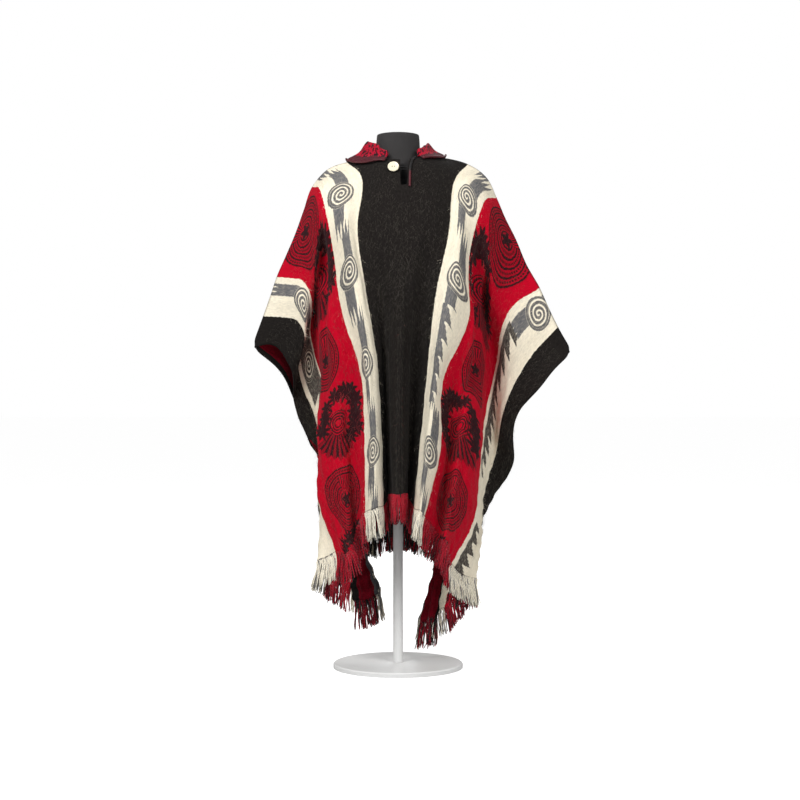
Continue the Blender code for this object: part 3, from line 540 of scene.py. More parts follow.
def crease_push(creases, pleats, gathers, folds, across, along):
    """How far creases, pleats and gathers push each point of the cloth out along its normal."""
    push = np.zeros_like(along)
    for place, start, end, half, depth, drift in creases:
        share = np.clip((along - start) / (end - start), 0.0, 1.0)
        middle = place + drift * share
        away = (across[:, None] - middle) / half
        push += depth * np.exp(-(away**2)) * np.sin(np.pi * share) ** 0.7
    push += 0.0011 * np.sin(across[:, None] * 61 + along * 23) * np.sin(along * 37 - across[:, None] * 17)
    push += 0.0006 * np.sin(across[:, None] * 143 - along * 31) * np.sin(along * 83 + across[:, None] * 29)
    wander = 0.9 * np.sin(along * 11 + across[:, None] * 7) + 0.5 * np.sin(along * 23 - across[:, None] * 19)
    grown = np.clip((along - CREASE_FULL) / 0.2, 0.0, 1.0)
    push += pleats[0] * np.sin(across[:, None] * 2 * np.pi / pleats[1] + wander) * grown
    shares = smooth_through([row[0] for row in folds], [row[1] for row in folds], across)
    slack = np.clip(shares, 0.0, 1.0)
    drift = 2.6 * np.sin(across * 21)[:, None] + 0.8 * np.sin(across[:, None] * 47 + along * 9)
    deep = gathers[0] * 0.5 * np.sqrt(slack)[:, None] * grown
    push += deep * np.sin(along * 2 * np.pi / gathers[1] + drift)
    higher = SLEEVE_HIGHER * np.clip((np.abs(across[:, None]) - SLEEVE_FROM) / 0.03, 0.0, 1.0)
    return push * np.clip((along + higher - CREASE_FROM) / (CREASE_FULL - CREASE_FROM), 0.0, 1.0)


def phase(along, places, pitch):
    """Counts the motifs passed along the warp: a whole number at each motif's centre."""
    places = np.array(places)
    counts = np.arange(len(places), dtype=float)
    inside = np.interp(along, places, counts)
    before = (along - places[0]) / pitch
    after = counts[-1] + (along - places[-1]) / pitch
    return np.where(along < places[0], before, np.where(along > places[-1], after, inside))


def motif_places(across, along):
    """At each point: disc count, medallion count and kind of stretch; and the red motifs' leans."""
    found = np.zeros((*along.shape, 3))
    leans = np.zeros((*along.shape, 3))
    for i, place in enumerate(across):
        side = -1 if place < 0 else 1
        stripe = "inner" if abs(place) < RED_MIDDLE else "outer"
        found[i, :, 0] = phase(along[i], DISCS[stripe, side], DISC_PITCH)
        found[i, :, 1] = phase(along[i], MEDALLIONS[side], MEDALLION_PITCH)
        for start, end, kind in STRETCHES[stripe, side]:
            found[i, (along[i] > start) & (along[i] < end), 2] = kind
        table = np.array(LEANS[side])
        leans[i, :, 0] = np.interp(along[i], table[:, 0], table[:, 1])
        leans[i, :, 1] = np.interp(along[i], table[:, 0], table[:, 2])
    return found, leans


def wall_mesh(name, points, normals, thickness, left_out=()):
    """Closed wall round a grid of points. Its vertices are the outer side's, then the inner side's."""
    count, rows = points.shape[:2]
    total = count * rows
    outer = (points + normals * thickness / 2).reshape(-1, 3)
    inner = (points - normals * thickness / 2).reshape(-1, 3)
    cells = []
    for i in range(count - 1):
        for j in range(rows - 1):
            if (i, j) not in left_out:
                a = i * rows + j
                cells.append((a, a + 1, a + rows + 1, a + rows))
    edges = {(a, b) for cell in cells for a, b in zip(cell, cell[1:] + cell[:1])}
    faces = list(cells)
    faces += [tuple(total + a for a in reversed(cell)) for cell in cells]
    faces += [(b, a, total + a, total + b) for a, b in sorted(edges) if (b, a) not in edges]
    mesh = bpy.data.meshes.new(name)
    mesh.from_pydata(np.concatenate([outer, inner]).tolist(), [], faces)
    mesh.validate()
    mesh.shade_smooth()
    return link(bpy.data.objects.new(name, mesh))


def point_values(obj, name, values, kind="FLOAT_VECTOR"):
    """Stores a value, or a vector, at each of a mesh's points."""
    stored = obj.data.attributes.new(name, kind, "POINT")
    field = "vector" if kind == "FLOAT_VECTOR" else "value"
    stored.data.foreach_set(field, np.asarray(values, np.float32).ravel())


def bake_layout(obj, across, along, hem):
    """Texture coordinates named OFBake: the outer side in the left half, the inner side in the right."""
    count, rows = along.shape
    total = count * rows
    place = np.empty((count, rows, 2))
    place[:, :, 0] = 0.01 + 0.47 * (across[:, None] + HALF_WIDTH) / (2 * HALF_WIDTH)
    place[:, :, 1] = 0.01 + 0.98 * along / hem
    place = place.reshape(-1, 2)
    corners = np.empty(len(obj.data.loops), np.int64)
    obj.data.loops.foreach_get("vertex_index", corners)
    starts = np.empty(len(obj.data.polygons), np.int64)
    obj.data.polygons.foreach_get("loop_start", starts)
    sizes = np.empty(len(obj.data.polygons), np.int64)
    obj.data.polygons.foreach_get("loop_total", sizes)
    inner = (corners >= total).astype(float)
    rim = np.repeat(np.add.reduceat(inner, starts) == sizes / 2, sizes)
    layout = place[corners % total]
    layout[:, 0] += np.where(rim, 0.0, 0.5 * inner)
    outwards = layout - np.array((0.245, 0.5))
    outwards /= np.linalg.norm(outwards, axis=1, keepdims=True) + 1e-9
    layout += np.where(rim[:, None], 0.004 * inner[:, None] * outwards, 0.0)
    made = obj.data.uv_layers.new(name="OFBake")
    made.data.foreach_set("uv", layout.astype(np.float32).ravel())


def fine_columns():
    even = np.linspace(-HALF_WIDTH, HALF_WIDTH, FINE_COLUMNS)
    even = even[np.abs(np.abs(even) - SLIT_HALF) > 0.002]
    return np.sort(np.concatenate([even, (-SLIT_HALF, SLIT_HALF)]))


def slit_pull(across, along):
    """How far the slit's edges are drawn apart, in X."""
    above = np.clip((SLIT_FOOT - along) / (SLIT_FOOT - HOLE_FRONT), 0.0, 1.0) ** 0.4
    from_edge = np.clip(np.abs(across) - SLIT_HALF, 0.0, None)[:, None]
    return np.sign(across)[:, None] * SLIT_PULL * above * np.exp(-((from_edge / PULL_REACH) ** 2))


def make_panel(name, folds, hem, depth, front, relief_tables):
    """One side of the poncho. Returns the piece and what its fringe and its nap are grown from."""
    across = fine_columns()
    top = neck_edge(across, depth)
    share = np.linspace(0.0, 1.0, ROWS * ROWS_EACH + 1)
    along = top[:, None] + (hem - top)[:, None] * share[None, :]
    points = drape(folds, hem, across, along)
    normals = normals_of(points, FINE_EVENING) * (1 if front else -1)
    on_ridge = top < 1e-9
    normals[on_ridge, 0, 1] = 0.0
    normals[:, 0] /= np.linalg.norm(normals[:, 0], axis=1, keepdims=True)
    points[on_ridge, 0, 1] += (-GAP / 2) if front else (GAP / 2)
    points += normals * crease_push(*relief_tables, folds, across, along)[:, :, None]
    from_corner = np.hypot(HALF_WIDTH - np.abs(across)[:, None], along)
    points[:, :, 0] -= np.sign(across)[:, None] * CORNER_PULL * np.exp(-((from_corner / CORNER_REACH) ** 2))
    left_out = set()
    if front:
        points[:, :, 0] += slit_pull(across, along)
        slit = int(np.searchsorted(across, -SLIT_HALF + 1e-9)) - 1
        slit_end = int(np.searchsorted(across, SLIT_HALF - 1e-9))
        left_out = {(i, j) for i in range(slit, slit_end) for j in range(SLIT_ROWS * ROWS_EACH)}
    obj = wall_mesh(name, points, normals, FINE_CLOTH, left_out)
    signed = along if front else -along
    places, leans = (values.reshape(-1, 3) for values in motif_places(across, signed))
    for_side = []
    for side in (1.0, -1.0):
        flat = np.empty((*along.shape, 3))
        flat[:, :, 0] = across[:, None]
        flat[:, :, 1] = signed
        flat[:, :, 2] = side
        for_side.append(flat.reshape(-1, 3))
    point_values(obj, "flat", np.concatenate(for_side))
    point_values(obj, "motif", np.concatenate([places, places]))
    point_values(obj, "lean", np.concatenate([leans, leans]))
    to_hem = (hem - along).ravel()
    point_values(obj, "to_hem", np.concatenate([to_hem, to_hem]), "FLOAT")
    bake_layout(obj, across, along, hem)
    made = {"across": across, "along": signed, "points": points, "normals": normals, "places": places}
    return obj, {**made, "front": front}


class Field:
    """A number that varies over a surface. Arithmetic on it adds math nodes to its material."""

    def __init__(self, tree, socket):
        self.tree = tree
        self.socket = socket

    def math(self, operation, *others, clamp=False):
        node = self.tree.nodes.new("ShaderNodeMath")
        node.operation = operation
        node.use_clamp = clamp
        for slot, value in zip(node.inputs, (self, *others)):
            if isinstance(value, Field):
                self.tree.links.new(value.socket, slot)
            else:
                slot.default_value = value
        return Field(self.tree, node.outputs[0])

    def __add__(self, other):
        return self.math("ADD", other)

    __radd__ = __add__

    def __sub__(self, other):
        return self.math("SUBTRACT", other)

    def __rsub__(self, other):
        return (self * -1.0) + other

    def __mul__(self, other):
        return self.math("MULTIPLY", other)

    __rmul__ = __mul__

    def __truediv__(self, other):
        return self.math("DIVIDE", other)

    def __abs__(self):
        return self.math("ABSOLUTE")

    def over(self, width):
        """1 where it is above zero and 0 below, with a soft edge of that width."""
        return self.math("MULTIPLY_ADD", 1.0 / width, 0.5, clamp=True)

    def share(self):
        return self.math("FRACT")

    def either(self, other):
        return self.math("MAXIMUM", other)

    def both(self, other):
        return self.math("MINIMUM", other)

    def pick(self, zero, one):
        """Goes from zero to one as this goes from 0 to 1."""
        return self * (one - zero) + zero


def distance(x, y):
    return (x * x + y * y).math("SQRT")


def turn(x, y):
    """Angle from +X towards +Y, in turns."""
    return y.math("ARCTAN2", x) / (2 * math.pi)


def zigzag(value):
    """Goes from 0 to 1 and back for each whole number passed."""
    return abs(value.share() - 0.5) * 2.0


def read_vector(tree, name):
    node = tree.nodes.new("ShaderNodeAttribute")
    node.attribute_name = name
    parts = tree.nodes.new("ShaderNodeSeparateXYZ")
    tree.links.new(node.outputs["Vector"], parts.inputs[0])
    return [Field(tree, output) for output in parts.outputs]


def read_number(tree, name):
    node = tree.nodes.new("ShaderNodeAttribute")
    node.attribute_name = name
    return Field(tree, node.outputs["Fac"])


def noise(x, y, z=0.0, detail=2.0):
    """Smooth noise about 0, mostly between -0.5 and 0.5, with cells one unit across."""
    tree = x.tree
    place = tree.nodes.new("ShaderNodeCombineXYZ")
    for slot, value in zip(place.inputs, (x, y, z)):
        if isinstance(value, Field):
            tree.links.new(value.socket, slot)
        else:
            slot.default_value = value
    made = tree.nodes.new("ShaderNodeTexNoise")
    made.inputs["Scale"].default_value = 1.0
    made.inputs["Detail"].default_value = detail
    tree.links.new(place.outputs[0], made.inputs["Vector"])
    return Field(tree, made.outputs[0]) - 0.5


def mix(tree, share, first, second):
    """Colour from first to second, as share goes from 0 to 1. A colour is a socket or three numbers."""
    node = tree.nodes.new("ShaderNodeMix")
    node.data_type = "RGBA"
    tree.links.new(share.socket, node.inputs[0])
    for slot, colour in ((node.inputs[6], first), (node.inputs[7], second)):
        if isinstance(colour, tuple):
            slot.default_value = (*colour, 1.0)
        else:
            tree.links.new(colour, slot)
    return node.outputs[2]


def shade(tree, colour, brightness):
    """The colour made lighter or darker by a field about 1."""
    node = tree.nodes.new("ShaderNodeHueSaturation")
    if isinstance(colour, tuple):
        node.inputs["Color"].default_value = (*colour, 1.0)
    else:
        tree.links.new(colour, node.inputs["Color"])
    tree.links.new(brightness.socket, node.inputs["Value"])
    return node.outputs["Color"]


def new_material(name, roughness, sheen=0.0, metallic=0.0, specular=0.5, coat=0.0):
    made = bpy.data.materials.new(name)
    made.use_nodes = True
    shader = made.node_tree.nodes["Principled BSDF"]
    shader.inputs["Roughness"].default_value = roughness
    shader.inputs["Metallic"].default_value = metallic
    shader.inputs["Specular IOR Level"].default_value = specular
    shader.inputs["Sheen Weight"].default_value = sheen
    shader.inputs["Sheen Roughness"].default_value = 0.45
    shader.inputs["Coat Weight"].default_value = coat
    return made, made.node_tree, shader


def relief(tree, shader, height, depth, strength=1.0):
    """Bumps from a field whose range of 1 stands for that depth."""
    node = tree.nodes.new("ShaderNodeBump")
    node.inputs["Strength"].default_value = strength
    node.inputs["Distance"].default_value = depth
    tree.links.new(height.socket, node.inputs["Height"])
    tree.links.new(node.outputs[0], shader.inputs["Normal"])


def spiral_disc(x, y, jitter):
    """Woven spiral: (ink, the disc's whole area)."""
    radius = 0.037
    away = distance(x, y) + jitter * 0.0012
    wound = (away / 0.0108 - turn(x, y)).share()
    band = (0.31 - abs(wound - 0.66)).over(0.16)
    within = (radius - 0.0052 - away).over(0.0012)
    ring = (0.0026 - abs(away - (radius - 0.0026))).over(0.0012)
    ink = (within * band).either(ring)
    return ink, (radius + 0.0005 - away).over(0.001)


def ribbon(x, reach, middle, full, spike, half=0.016):
    """A ribbon with a spiked end, that reaches so far from a disc's centre."""
    body = (half - abs(x - middle)).over(0.0018)
    end = (zigzag(x / 0.0125) * spike + full - reach).over(0.003)
    return body * end


def saw_ribbon(x, along, inner_edge):
    """A ribbon down the stripe, with long teeth along one side."""
    tooth = (along / 0.043).share()
    reach = tooth * 0.030 + 0.004
    rough = zigzag(along / 0.0105) * 0.004
    return (x - inner_edge).over(0.002) * (reach + rough + inner_edge + 0.008 - x).over(0.002)


def pale_motif(across, along, right, count, kind, jitter):
    """Ink of the pale stripes, and how much darker than grey it is. Right is 1 on the cloth's right half."""
    outer = (across - RED_MIDDLE).over(0.001)
    below_middle = outer.pick(right.pick(0.010, -0.013), -0.012)
    above_middle = outer.pick(right.pick(-0.008, 0.012), -0.012)
    x = across - outer.pick(INNER_DISC, OUTER_DISC)
    y = ((count + 0.5).share() - 0.5) * DISC_PITCH
    disc, area = spiral_disc(x, y, jitter)
    passed = count.share() * DISC_PITCH
    left = DISC_PITCH - passed
    below = ribbon(x, passed + jitter * 0.004, below_middle, 0.076, 0.044, 0.0165)
    above = ribbon(x, left + jitter * 0.004, above_middle, 0.090, 0.044, 0.0165)
    flow = below.either(above) * (1.0 - area)
    saw = saw_ribbon(x, along, -0.034)
    has_saw = (kind - 0.5).over(0.1)
    has_ground = (kind - 1.5).over(0.1)
    bare = (kind * -1.0 - 0.5).over(0.1)
    discs = disc.either(flow) * (1.0 - bare)
    on_ground = ((0.038 - abs(x)).over(0.002) * (1.0 - area)).either(disc)
    drawn = has_saw.pick(discs, has_ground.pick(saw, on_ground))
    return drawn, (has_saw * outer).either(disc * (1.0 - bare) * 0.3)


def spiked(x, y, centre, radius, spikes, length):
    """A blob with spikes all round."""
    a = x - centre[0]
    b = y - centre[1]
    edge = zigzag(turn(a, b) * spikes) * length + radius
    return (edge - distance(a, b)).over(0.003)


def medallion(x, y, jitter):
    """Rings of dashes in an oval, with rays over its top and a small figure in its middle."""
    round_way = turn(x, y)
    out = distance(x / 0.096, y / 0.082) + jitter * 0.024
    rings = (0.31 - abs((out * 11.0).share() - 0.5)).over(0.22)
    dashes = (0.34 - abs((round_way * 58.0 + out * 3.0).share() - 0.5)).over(0.20)
    odd = ((out * 5.5).share() - 0.5).over(0.05)
    lines = (rings * odd.pick(1.0, dashes)).either(0.24)
    rays = (0.26 - abs((round_way * 34.0 + out * 0.7).share() - 0.5)).over(0.16) * (out - 0.22).over(0.05)
    top = (0.100 - abs(round_way + 0.24)).over(0.012) * (0.72 - out).over(0.04)
    core = spiked(x, y, (0.0, 0.0), 0.010, 5.0, 0.012)
    return (top.pick(lines, rays) * (1.0 - out).over(0.04)).either(core)


# The tufts and wings of a bird: across, down, size, number of spikes and their length.
FEATHERS = (
    (-0.012, -0.072, 0.016, 9.0, 0.013),
    (0.018, -0.066, 0.012, 8.0, 0.012),
    (-0.044, -0.056, 0.017, 9.0, 0.014),
    (-0.030, -0.082, 0.011, 7.0, 0.011),
    (-0.054, -0.022, 0.015, 9.0, 0.013),
    (-0.058, 0.010, 0.018, 9.0, 0.014),
    (-0.044, 0.038, 0.013, 8.0, 0.013),
    (0.040, -0.038, 0.011, 7.0, 0.012),
    (0.042, -0.010, 0.012, 8.0, 0.013),
    (0.046, 0.022, 0.014, 9.0, 0.014),
)


def bird(x, y, jitter):
    """A feathered figure: tufts over a ringed head, wings at its sides, and a barred body below."""
    x = x + jitter * 0.004
    y = y + jitter * 0.003
    drawn = None
    for across, down, size, spikes, length in FEATHERS:
        tuft = spiked(x, y, (across, down), size, spikes, length)
        drawn = tuft if drawn is None else drawn.either(tuft)
    out = distance(x, y)
    way = turn(x, y)
    rings = (0.31 - abs((out / 0.0068).share() - 0.5)).over(0.2)
    head = rings * (out - 0.0085).over(0.002) * (0.031 - out).over(0.002)
    bars = (0.30 - abs((way * 34.0).share() - 0.5)).over(0.2)
    fan = (0.115 - abs(way - 0.25)).over(0.01)
    tips = zigzag(way * 34.0) * 0.012 + 0.082
    body = bars.either(0.5) * fan * (out - 0.029).over(0.002) * (tips - out).over(0.003)
    return drawn.either(head).either(body)


def red_motif(across, count, lean_across, lean_down, jitter):
    x = across - RED_MIDDLE
    round_one = ((count + 0.5).share() - 0.5) * MEDALLION_PITCH
    between_two = (count.share() - 0.5) * MEDALLION_PITCH
    oval = medallion(x + lean_across * round_one, round_one * 0.93 + lean_down * x, jitter)
    level = between_two * 0.93 + lean_down * x
    figure = bird((x + lean_across * between_two) * 0.66 + 0.008, level + 0.012, jitter)
    return oval.either(figure)


def between(value, low, high):
    return (value - low).over(0.0012) * (high - value).over(0.0012)


def alpaca_material(name, lift, sheen):
    """Brushed double cloth. Where one side has its ground the other has its ink. Lift is a painted sheen: it
    pales the hairs.
    """
    made, tree, shader = new_material(name, 0.94, sheen=sheen, specular=0.04)
    u, v, side = read_vector(tree, "flat")
    discs, medals, kind = read_vector(tree, "motif")
    lean_across, lean_down, _ = read_vector(tree, "lean")
    to_hem = read_number(tree, "to_hem")
    fray = noise(u * 420.0, v * 130.0, side)
    wander = noise(u * 45.0, v * 30.0, 3.0)
    across = abs(u) + fray * 0.0046 + wander * 0.0026
    right = u.over(0.001)
    pale_ink, darker = pale_motif(across, v + fray * 0.004, right, discs + wander * 0.012, kind, fray)
    red_ink = red_motif(across, medals + wander * 0.010, lean_across, lean_down, fray)
    pale = between(across, BLACK_TO, INNER_PALE_TO).either(between(across, RED_TO, OUTER_PALE_TO))
    red = between(across, INNER_PALE_TO, RED_TO)
    ink_share = pale * pale_ink + red * red_ink
    streaks = noise(u * 700.0, v * 75.0, side)
    worn = streaks * (pale * 0.8 + 0.3) + 0.98 - pale * 0.04
    ink_share = (ink_share * worn).both(1.0)
    outside = side.over(0.5).either((abs(u) - SELVAGE).over(0.001))
    ink_share = outside.pick(1.0 - ink_share, ink_share)
    ground = mix(tree, red, mix(tree, pale, BLACK, CREAM), RED)
    grey = mix(tree, darker, GREY, UMBER)
    ink = mix(tree, red, mix(tree, pale, DEEP_RED, grey), INK)
    colour = mix(tree, ink_share, ground, ink)
    brushed = noise(u * 70.0, v * 9.0, side)
    mottle = noise(u * 190.0, v * 150.0, side * 3.0)
    dark = (1.0 - pale) * (1.0 - red)
    brightness = streaks * 0.55 + brushed * 0.30 + mottle * (dark * 0.9 + 0.25) + 1.0
    stitch = (0.0012 - abs(to_hem - 0.0065)).over(0.001) * (0.38 - abs((u * 210.0).share() - 0.5)).over(0.1)
    colour = mix(tree, stitch * (pale * 0.45 + 0.3), shade(tree, colour, brightness), INK)
    # Painted sheen: the hairs' colour is paled towards cream, least on the pale stripes, for the light that
    # they catch.
    if lift:
        colour = mix(tree, pale * -0.5 + lift, colour, CREAM)
    tree.links.new(colour, shader.inputs["Base Color"])
    weft = zigzag(v * 420.0) * 0.35 + zigzag(u * 420.0) * 0.25
    relief(tree, shader, streaks + noise(u * 260.0, v * 60.0, 1.0) * 0.8 + weft * 0.3, 0.0011, 0.55)
    return made


def yarn_material(name, colour, variation=0.35):
    """Twisted yarn. Each strand has its own shade."""
    made, tree, shader = new_material(name, 0.9, sheen=0.2, specular=0.15)
    way, along, seed = read_vector(tree, "yarn")
    twist = zigzag(way + along * 140.0 + seed)
    own = noise(seed * 37.0, 0.5, 0.0, 0.0)
    fluff = noise(way * 3.0, along * 300.0, seed * 9.0)
    brightness = own * variation * 2.0 + twist * 0.45 + fluff * 0.3 + 0.72
    tree.links.new(shade(tree, colour, brightness), shader.inputs["Base Color"])
    relief(tree, shader, twist, 0.0007, 0.8)
    return made


def knit_material():
    """Two-coloured knit: red stitches with black ones between them, and a dull rolled edge."""
    made, tree, shader = new_material("red and black knit", 0.9, sheen=0.06, specular=0.1)
    round_way, along, roll = read_vector(tree, "knit")
    wale = round_way / 0.0066
    half = abs(wale.share() - 0.5)
    course = along / 0.0052 + half * 1.1
    stitch = zigzag(course)
    rib = zigzag(wale)
    number = wale.math("FLOOR") * 7.31 + course.math("FLOOR") * 3.17
    chance = noise(number, 0.5, 2.0, 0.0)
    black = (chance - 0.035).over(0.02)
    colour = mix(tree, black, (0.50, 0.006, 0.030), (0.030, 0.008, 0.012))
    colour = mix(tree, roll, colour, (0.088, 0.017, 0.024))
    brightness = stitch * 0.5 + rib * 0.2 + noise(round_way * 900.0, along * 900.0) * 0.5 + 0.54
    tree.links.new(shade(tree, colour, brightness), shader.inputs["Base Color"])
    relief(tree, shader, stitch * 0.6 + rib * 0.7, 0.0013, 0.9)
    return made


def cord_material(name, colour, foot=None, foot_from=0.0):
    """Twisted cord. Beyond foot_from along it, it has the foot's colour."""
    made, tree, shader = new_material(name, 0.5, sheen=0.03, specular=0.45)
    way, along, _ = read_vector(tree, "yarn")
    if foot:
        colour = mix(tree, (along - foot_from).over(0.006) * 0.8, colour, foot)
    twist = zigzag(way * 2.0 + along * 170.0)
    brightness = twist * 0.7 + noise(way * 9.0, along * 500.0) * 0.4 + 0.6
    tree.links.new(shade(tree, colour, brightness), shader.inputs["Base Color"])
    relief(tree, shader, twist, 0.0009, 0.9)
    return made


def object_place(tree):
    node = tree.nodes.new("ShaderNodeTexCoord")
    parts = tree.nodes.new("ShaderNodeSeparateXYZ")
    tree.links.new(node.outputs["Object"], parts.inputs[0])
    return [Field(tree, output) for output in parts.outputs]


def jersey_material():
    """Fine charcoal jersey stretched over the form."""
    made, tree, shader = new_material("charcoal jersey", 0.86, sheen=0.12, specular=0.2)
    x, y, z = object_place(tree)
    way = turn(x, y)
    wale = zigzag(way * 260.0)
    course = zigzag(z * 620.0 + wale * 0.5)
    cloud = noise(x * 30.0, y * 30.0, z * 30.0)
    brightness = cloud * 0.35 + wale * course * 0.35 + 0.85
    tree.links.new(shade(tree, (0.034, 0.032, 0.032), brightness), shader.inputs["Base Color"])
    relief(tree, shader, wale * course, 0.0004, 0.5)
    return made


def ivory_material():
    """Polished corozo: cream with faint rings and flecks."""
    made, tree, shader = new_material("cream button", 0.30, specular=0.5, coat=0.25)
    x, y, z = object_place(tree)
    grain = noise(x * 90.0, y * 420.0, z * 90.0) * 0.5 + noise(x * 700.0, y * 700.0, 0.0) * 0.25
    colour = mix(tree, (grain + 0.5), (0.70, 0.62, 0.44), (0.86, 0.80, 0.63))
    tree.links.new(colour, shader.inputs["Base Color"])
    relief(tree, shader, grain, 0.0002, 0.4)
    return made


def lacquer_material():
    """White lacquered metal with fine orange peel."""
    made, tree, shader = new_material("white lacquer", 0.32, specular=0.5, coat=0.2)
    x, y, z = object_place(tree)
    peel = noise(x * 420.0, y * 420.0, z * 420.0)
    cloud = noise(x * 11.0, y * 11.0, z * 11.0)
    tree.links.new(shade(tree, (0.78, 0.78, 0.77), cloud * 0.06 + 1.0), shader.inputs["Base Color"])
    relief(tree, shader, peel, 0.0002, 0.35)
    return made


def add_tube(store, path, radii, sides, seed):
    """Adds a round tapering tube along a path to a store of vertices, faces and yarn places."""
    path = np.asarray(path)
    way = unit(np.gradient(path, axis=0))
    side = unit(np.cross(way, (0.31, 0.94, 0.11)))
    other = np.cross(way, side)
    length = np.concatenate([[0.0], np.cumsum(np.linalg.norm(np.diff(path, axis=0), axis=1))])
    first = len(store["points"])
    for i, centre in enumerate(path):
        for k in range(sides):
            angle = 2 * math.pi * k / sides
            away = math.cos(angle) * side[i] + math.sin(angle) * other[i]
            store["points"].append(centre + radii[i] * away)
            store["yarn"].append((abs(2 * k / sides - 1), length[i], seed))
    store["faces"] += ring_faces(sides, len(path), first)


def tube_object(name, store, finishes, picks=None):
    mesh = bpy.data.meshes.new(name)
    mesh.from_pydata([tuple(point) for point in store["points"]], [], store["faces"])
    mesh.shade_smooth()
    for finish in finishes:
        mesh.materials.append(finish)
    if picks is not None:
        mesh.polygons.foreach_set("material_index", np.asarray(picks, np.int32))
    obj = link(bpy.data.objects.new(name, mesh))
    point_values(obj, "yarn", store["yarn"])
    return obj


def new_store():
    return {"points": [], "faces": [], "yarn": []}


# The fringe: hem for each strand, the strands' size, and how they gather into tassels.
STRAND_PITCH = 0.0026  # hem for each strand of a row
STRAND_RADIUS = 0.00155
STRAND_STEPS = 9
ROOTED = 0.004  # how far inside the cloth a strand starts
STRAIGHT = 0.012  # how far it follows the cloth before it falls
TASSEL = 0.011  # hem for each loose tassel
STRAND_WEIGHT = 2.4  # how far gravity turns a strand from the way that the cloth's edge faces
STRAND_FLARE = 0.9  # how far the strands of the front's outer pale stripes lean out to the side
FLARE_REACH = 0.07  # how far across that lean dies away
FRINGE_COLOURS = ("cream", "grey", "red", "deep red", "black")


def strand_colour(across, outer_row, front, dice):
    """Which of the fringe's colours a strand has. The two layers of the cloth end in unlike yarns."""
    place = abs(across)
    if not (front or outer_row) and place < RED_MIDDLE:
        return "black" if dice < 0.85 else "grey"
    if place < BLACK_TO:
        return "red" if outer_row else "black"
    if place >= OUTER_PALE_TO:
        choices = ("deep red", "black", "red") if outer_row else ("black", "deep red")
        return choices[int(dice * len(choices))]
    if place < INNER_PALE_TO or place >= RED_TO:
        if outer_row:
            return "cream" if dice < 0.93 else "grey"
        return "grey" if dice < 0.55 else "cream"
    if outer_row:
        return "red" if dice < 0.8 else "deep red"
    return "deep red" if dice < 0.62 else "black"


def make_fringe(name, cloth, finishes, seed):
    """Rows of twisted strands along a hem, gathered a little into tassels."""
    dice = np.random.default_rng(seed)
    points = cloth["points"]
    normals = cloth["normals"]
    hem = points[:, -1]
    knots = np.concatenate([[0.0], np.cumsum(np.linalg.norm(np.diff(hem, axis=0), axis=1))])
    down = unit(points[:, -1] - points[:, -4])
    side = unit(np.gradient(hem, axis=0))
    free = unit(np.cross(side, normals[:, -1]))
    free *= np.sign(np.sum(free * down, axis=1, keepdims=True))
    store = new_store()
    picks = []
    count = int(knots[-1] / STRAND_PITCH)
    for row, offset in ((True, 0.0007), (False, -0.0007)):
        for k in range(count):
            place = (k + 0.5 + dice.uniform(-0.35, 0.35)) * knots[-1] / count
            tassel = (round(place / TASSEL) - place / TASSEL) * TASSEL
            root = np.array([np.interp(place, knots, hem[:, n]) for n in range(3)])
            out = unit(np.array([np.interp(place, knots, normals[:, -1, n]) for n in range(3)]))
            away = unit(np.array([np.interp(place, knots, free[:, n]) for n in range(3)]))
            along = unit(np.array([np.interp(place, knots, side[:, n]) for n in range(3)]))
            across = float(np.interp(place, knots, cloth["across"]))
            length = LOCK_LENGTH * dice.uniform(0.86, 1.04)
            from_middle = (abs(across) - OUTER_DISC) / FLARE_REACH
            flare = STRAND_FLARE * math.exp(-(from_middle**2)) * cloth["front"]
            fall = unit(away + np.array((math.copysign(flare, across), 0.0, -STRAND_WEIGHT)))
            sway = dice.uniform(-1.0, 1.0, 2) * (0.0055, 0.0040)
            curl = dice.uniform(0.0004, 0.0016)
            turn_at = dice.uniform(0, 2 * math.pi)
            path = []
            radii = []
            for step in range(STRAND_STEPS):
                share = step / (STRAND_STEPS - 1)
                start = away * min(share * length, STRAIGHT)
                rest = fall * max(share * length - STRAIGHT, 0.0)
                bend = along * (tassel * 0.55 * share + sway[0] * share**2) + out * sway[1] * share**2
                wave = along * math.sin(share * 9 + turn_at) + out * math.cos(share * 8 + turn_at)
                inside = away * ROOTED * (1 - share)
                path.append(root + out * offset - inside + start + rest + bend + wave * curl)
                radii.append(STRAND_RADIUS * (1.0 - 0.35 * share))
            before = len(store["faces"])
            add_tube(store, path, radii, 5, dice.uniform(0, 10))
            colour = FRINGE_COLOURS.index(strand_colour(across, row, cloth["front"], dice.random()))
            picks += [colour] * (len(store["faces"]) - before)
    return tube_object(name, store, finishes, picks)


# The nap: loose hairs that stand off the cloth.
HAIRS = 30000
HAIR_LENGTH = 0.0115
HAIR_WIDTH = 0.00022
HAIR_CURL = 0.002
OUTSIDE_HAIRS = 0.8  # share of the hairs that grow on the outer side


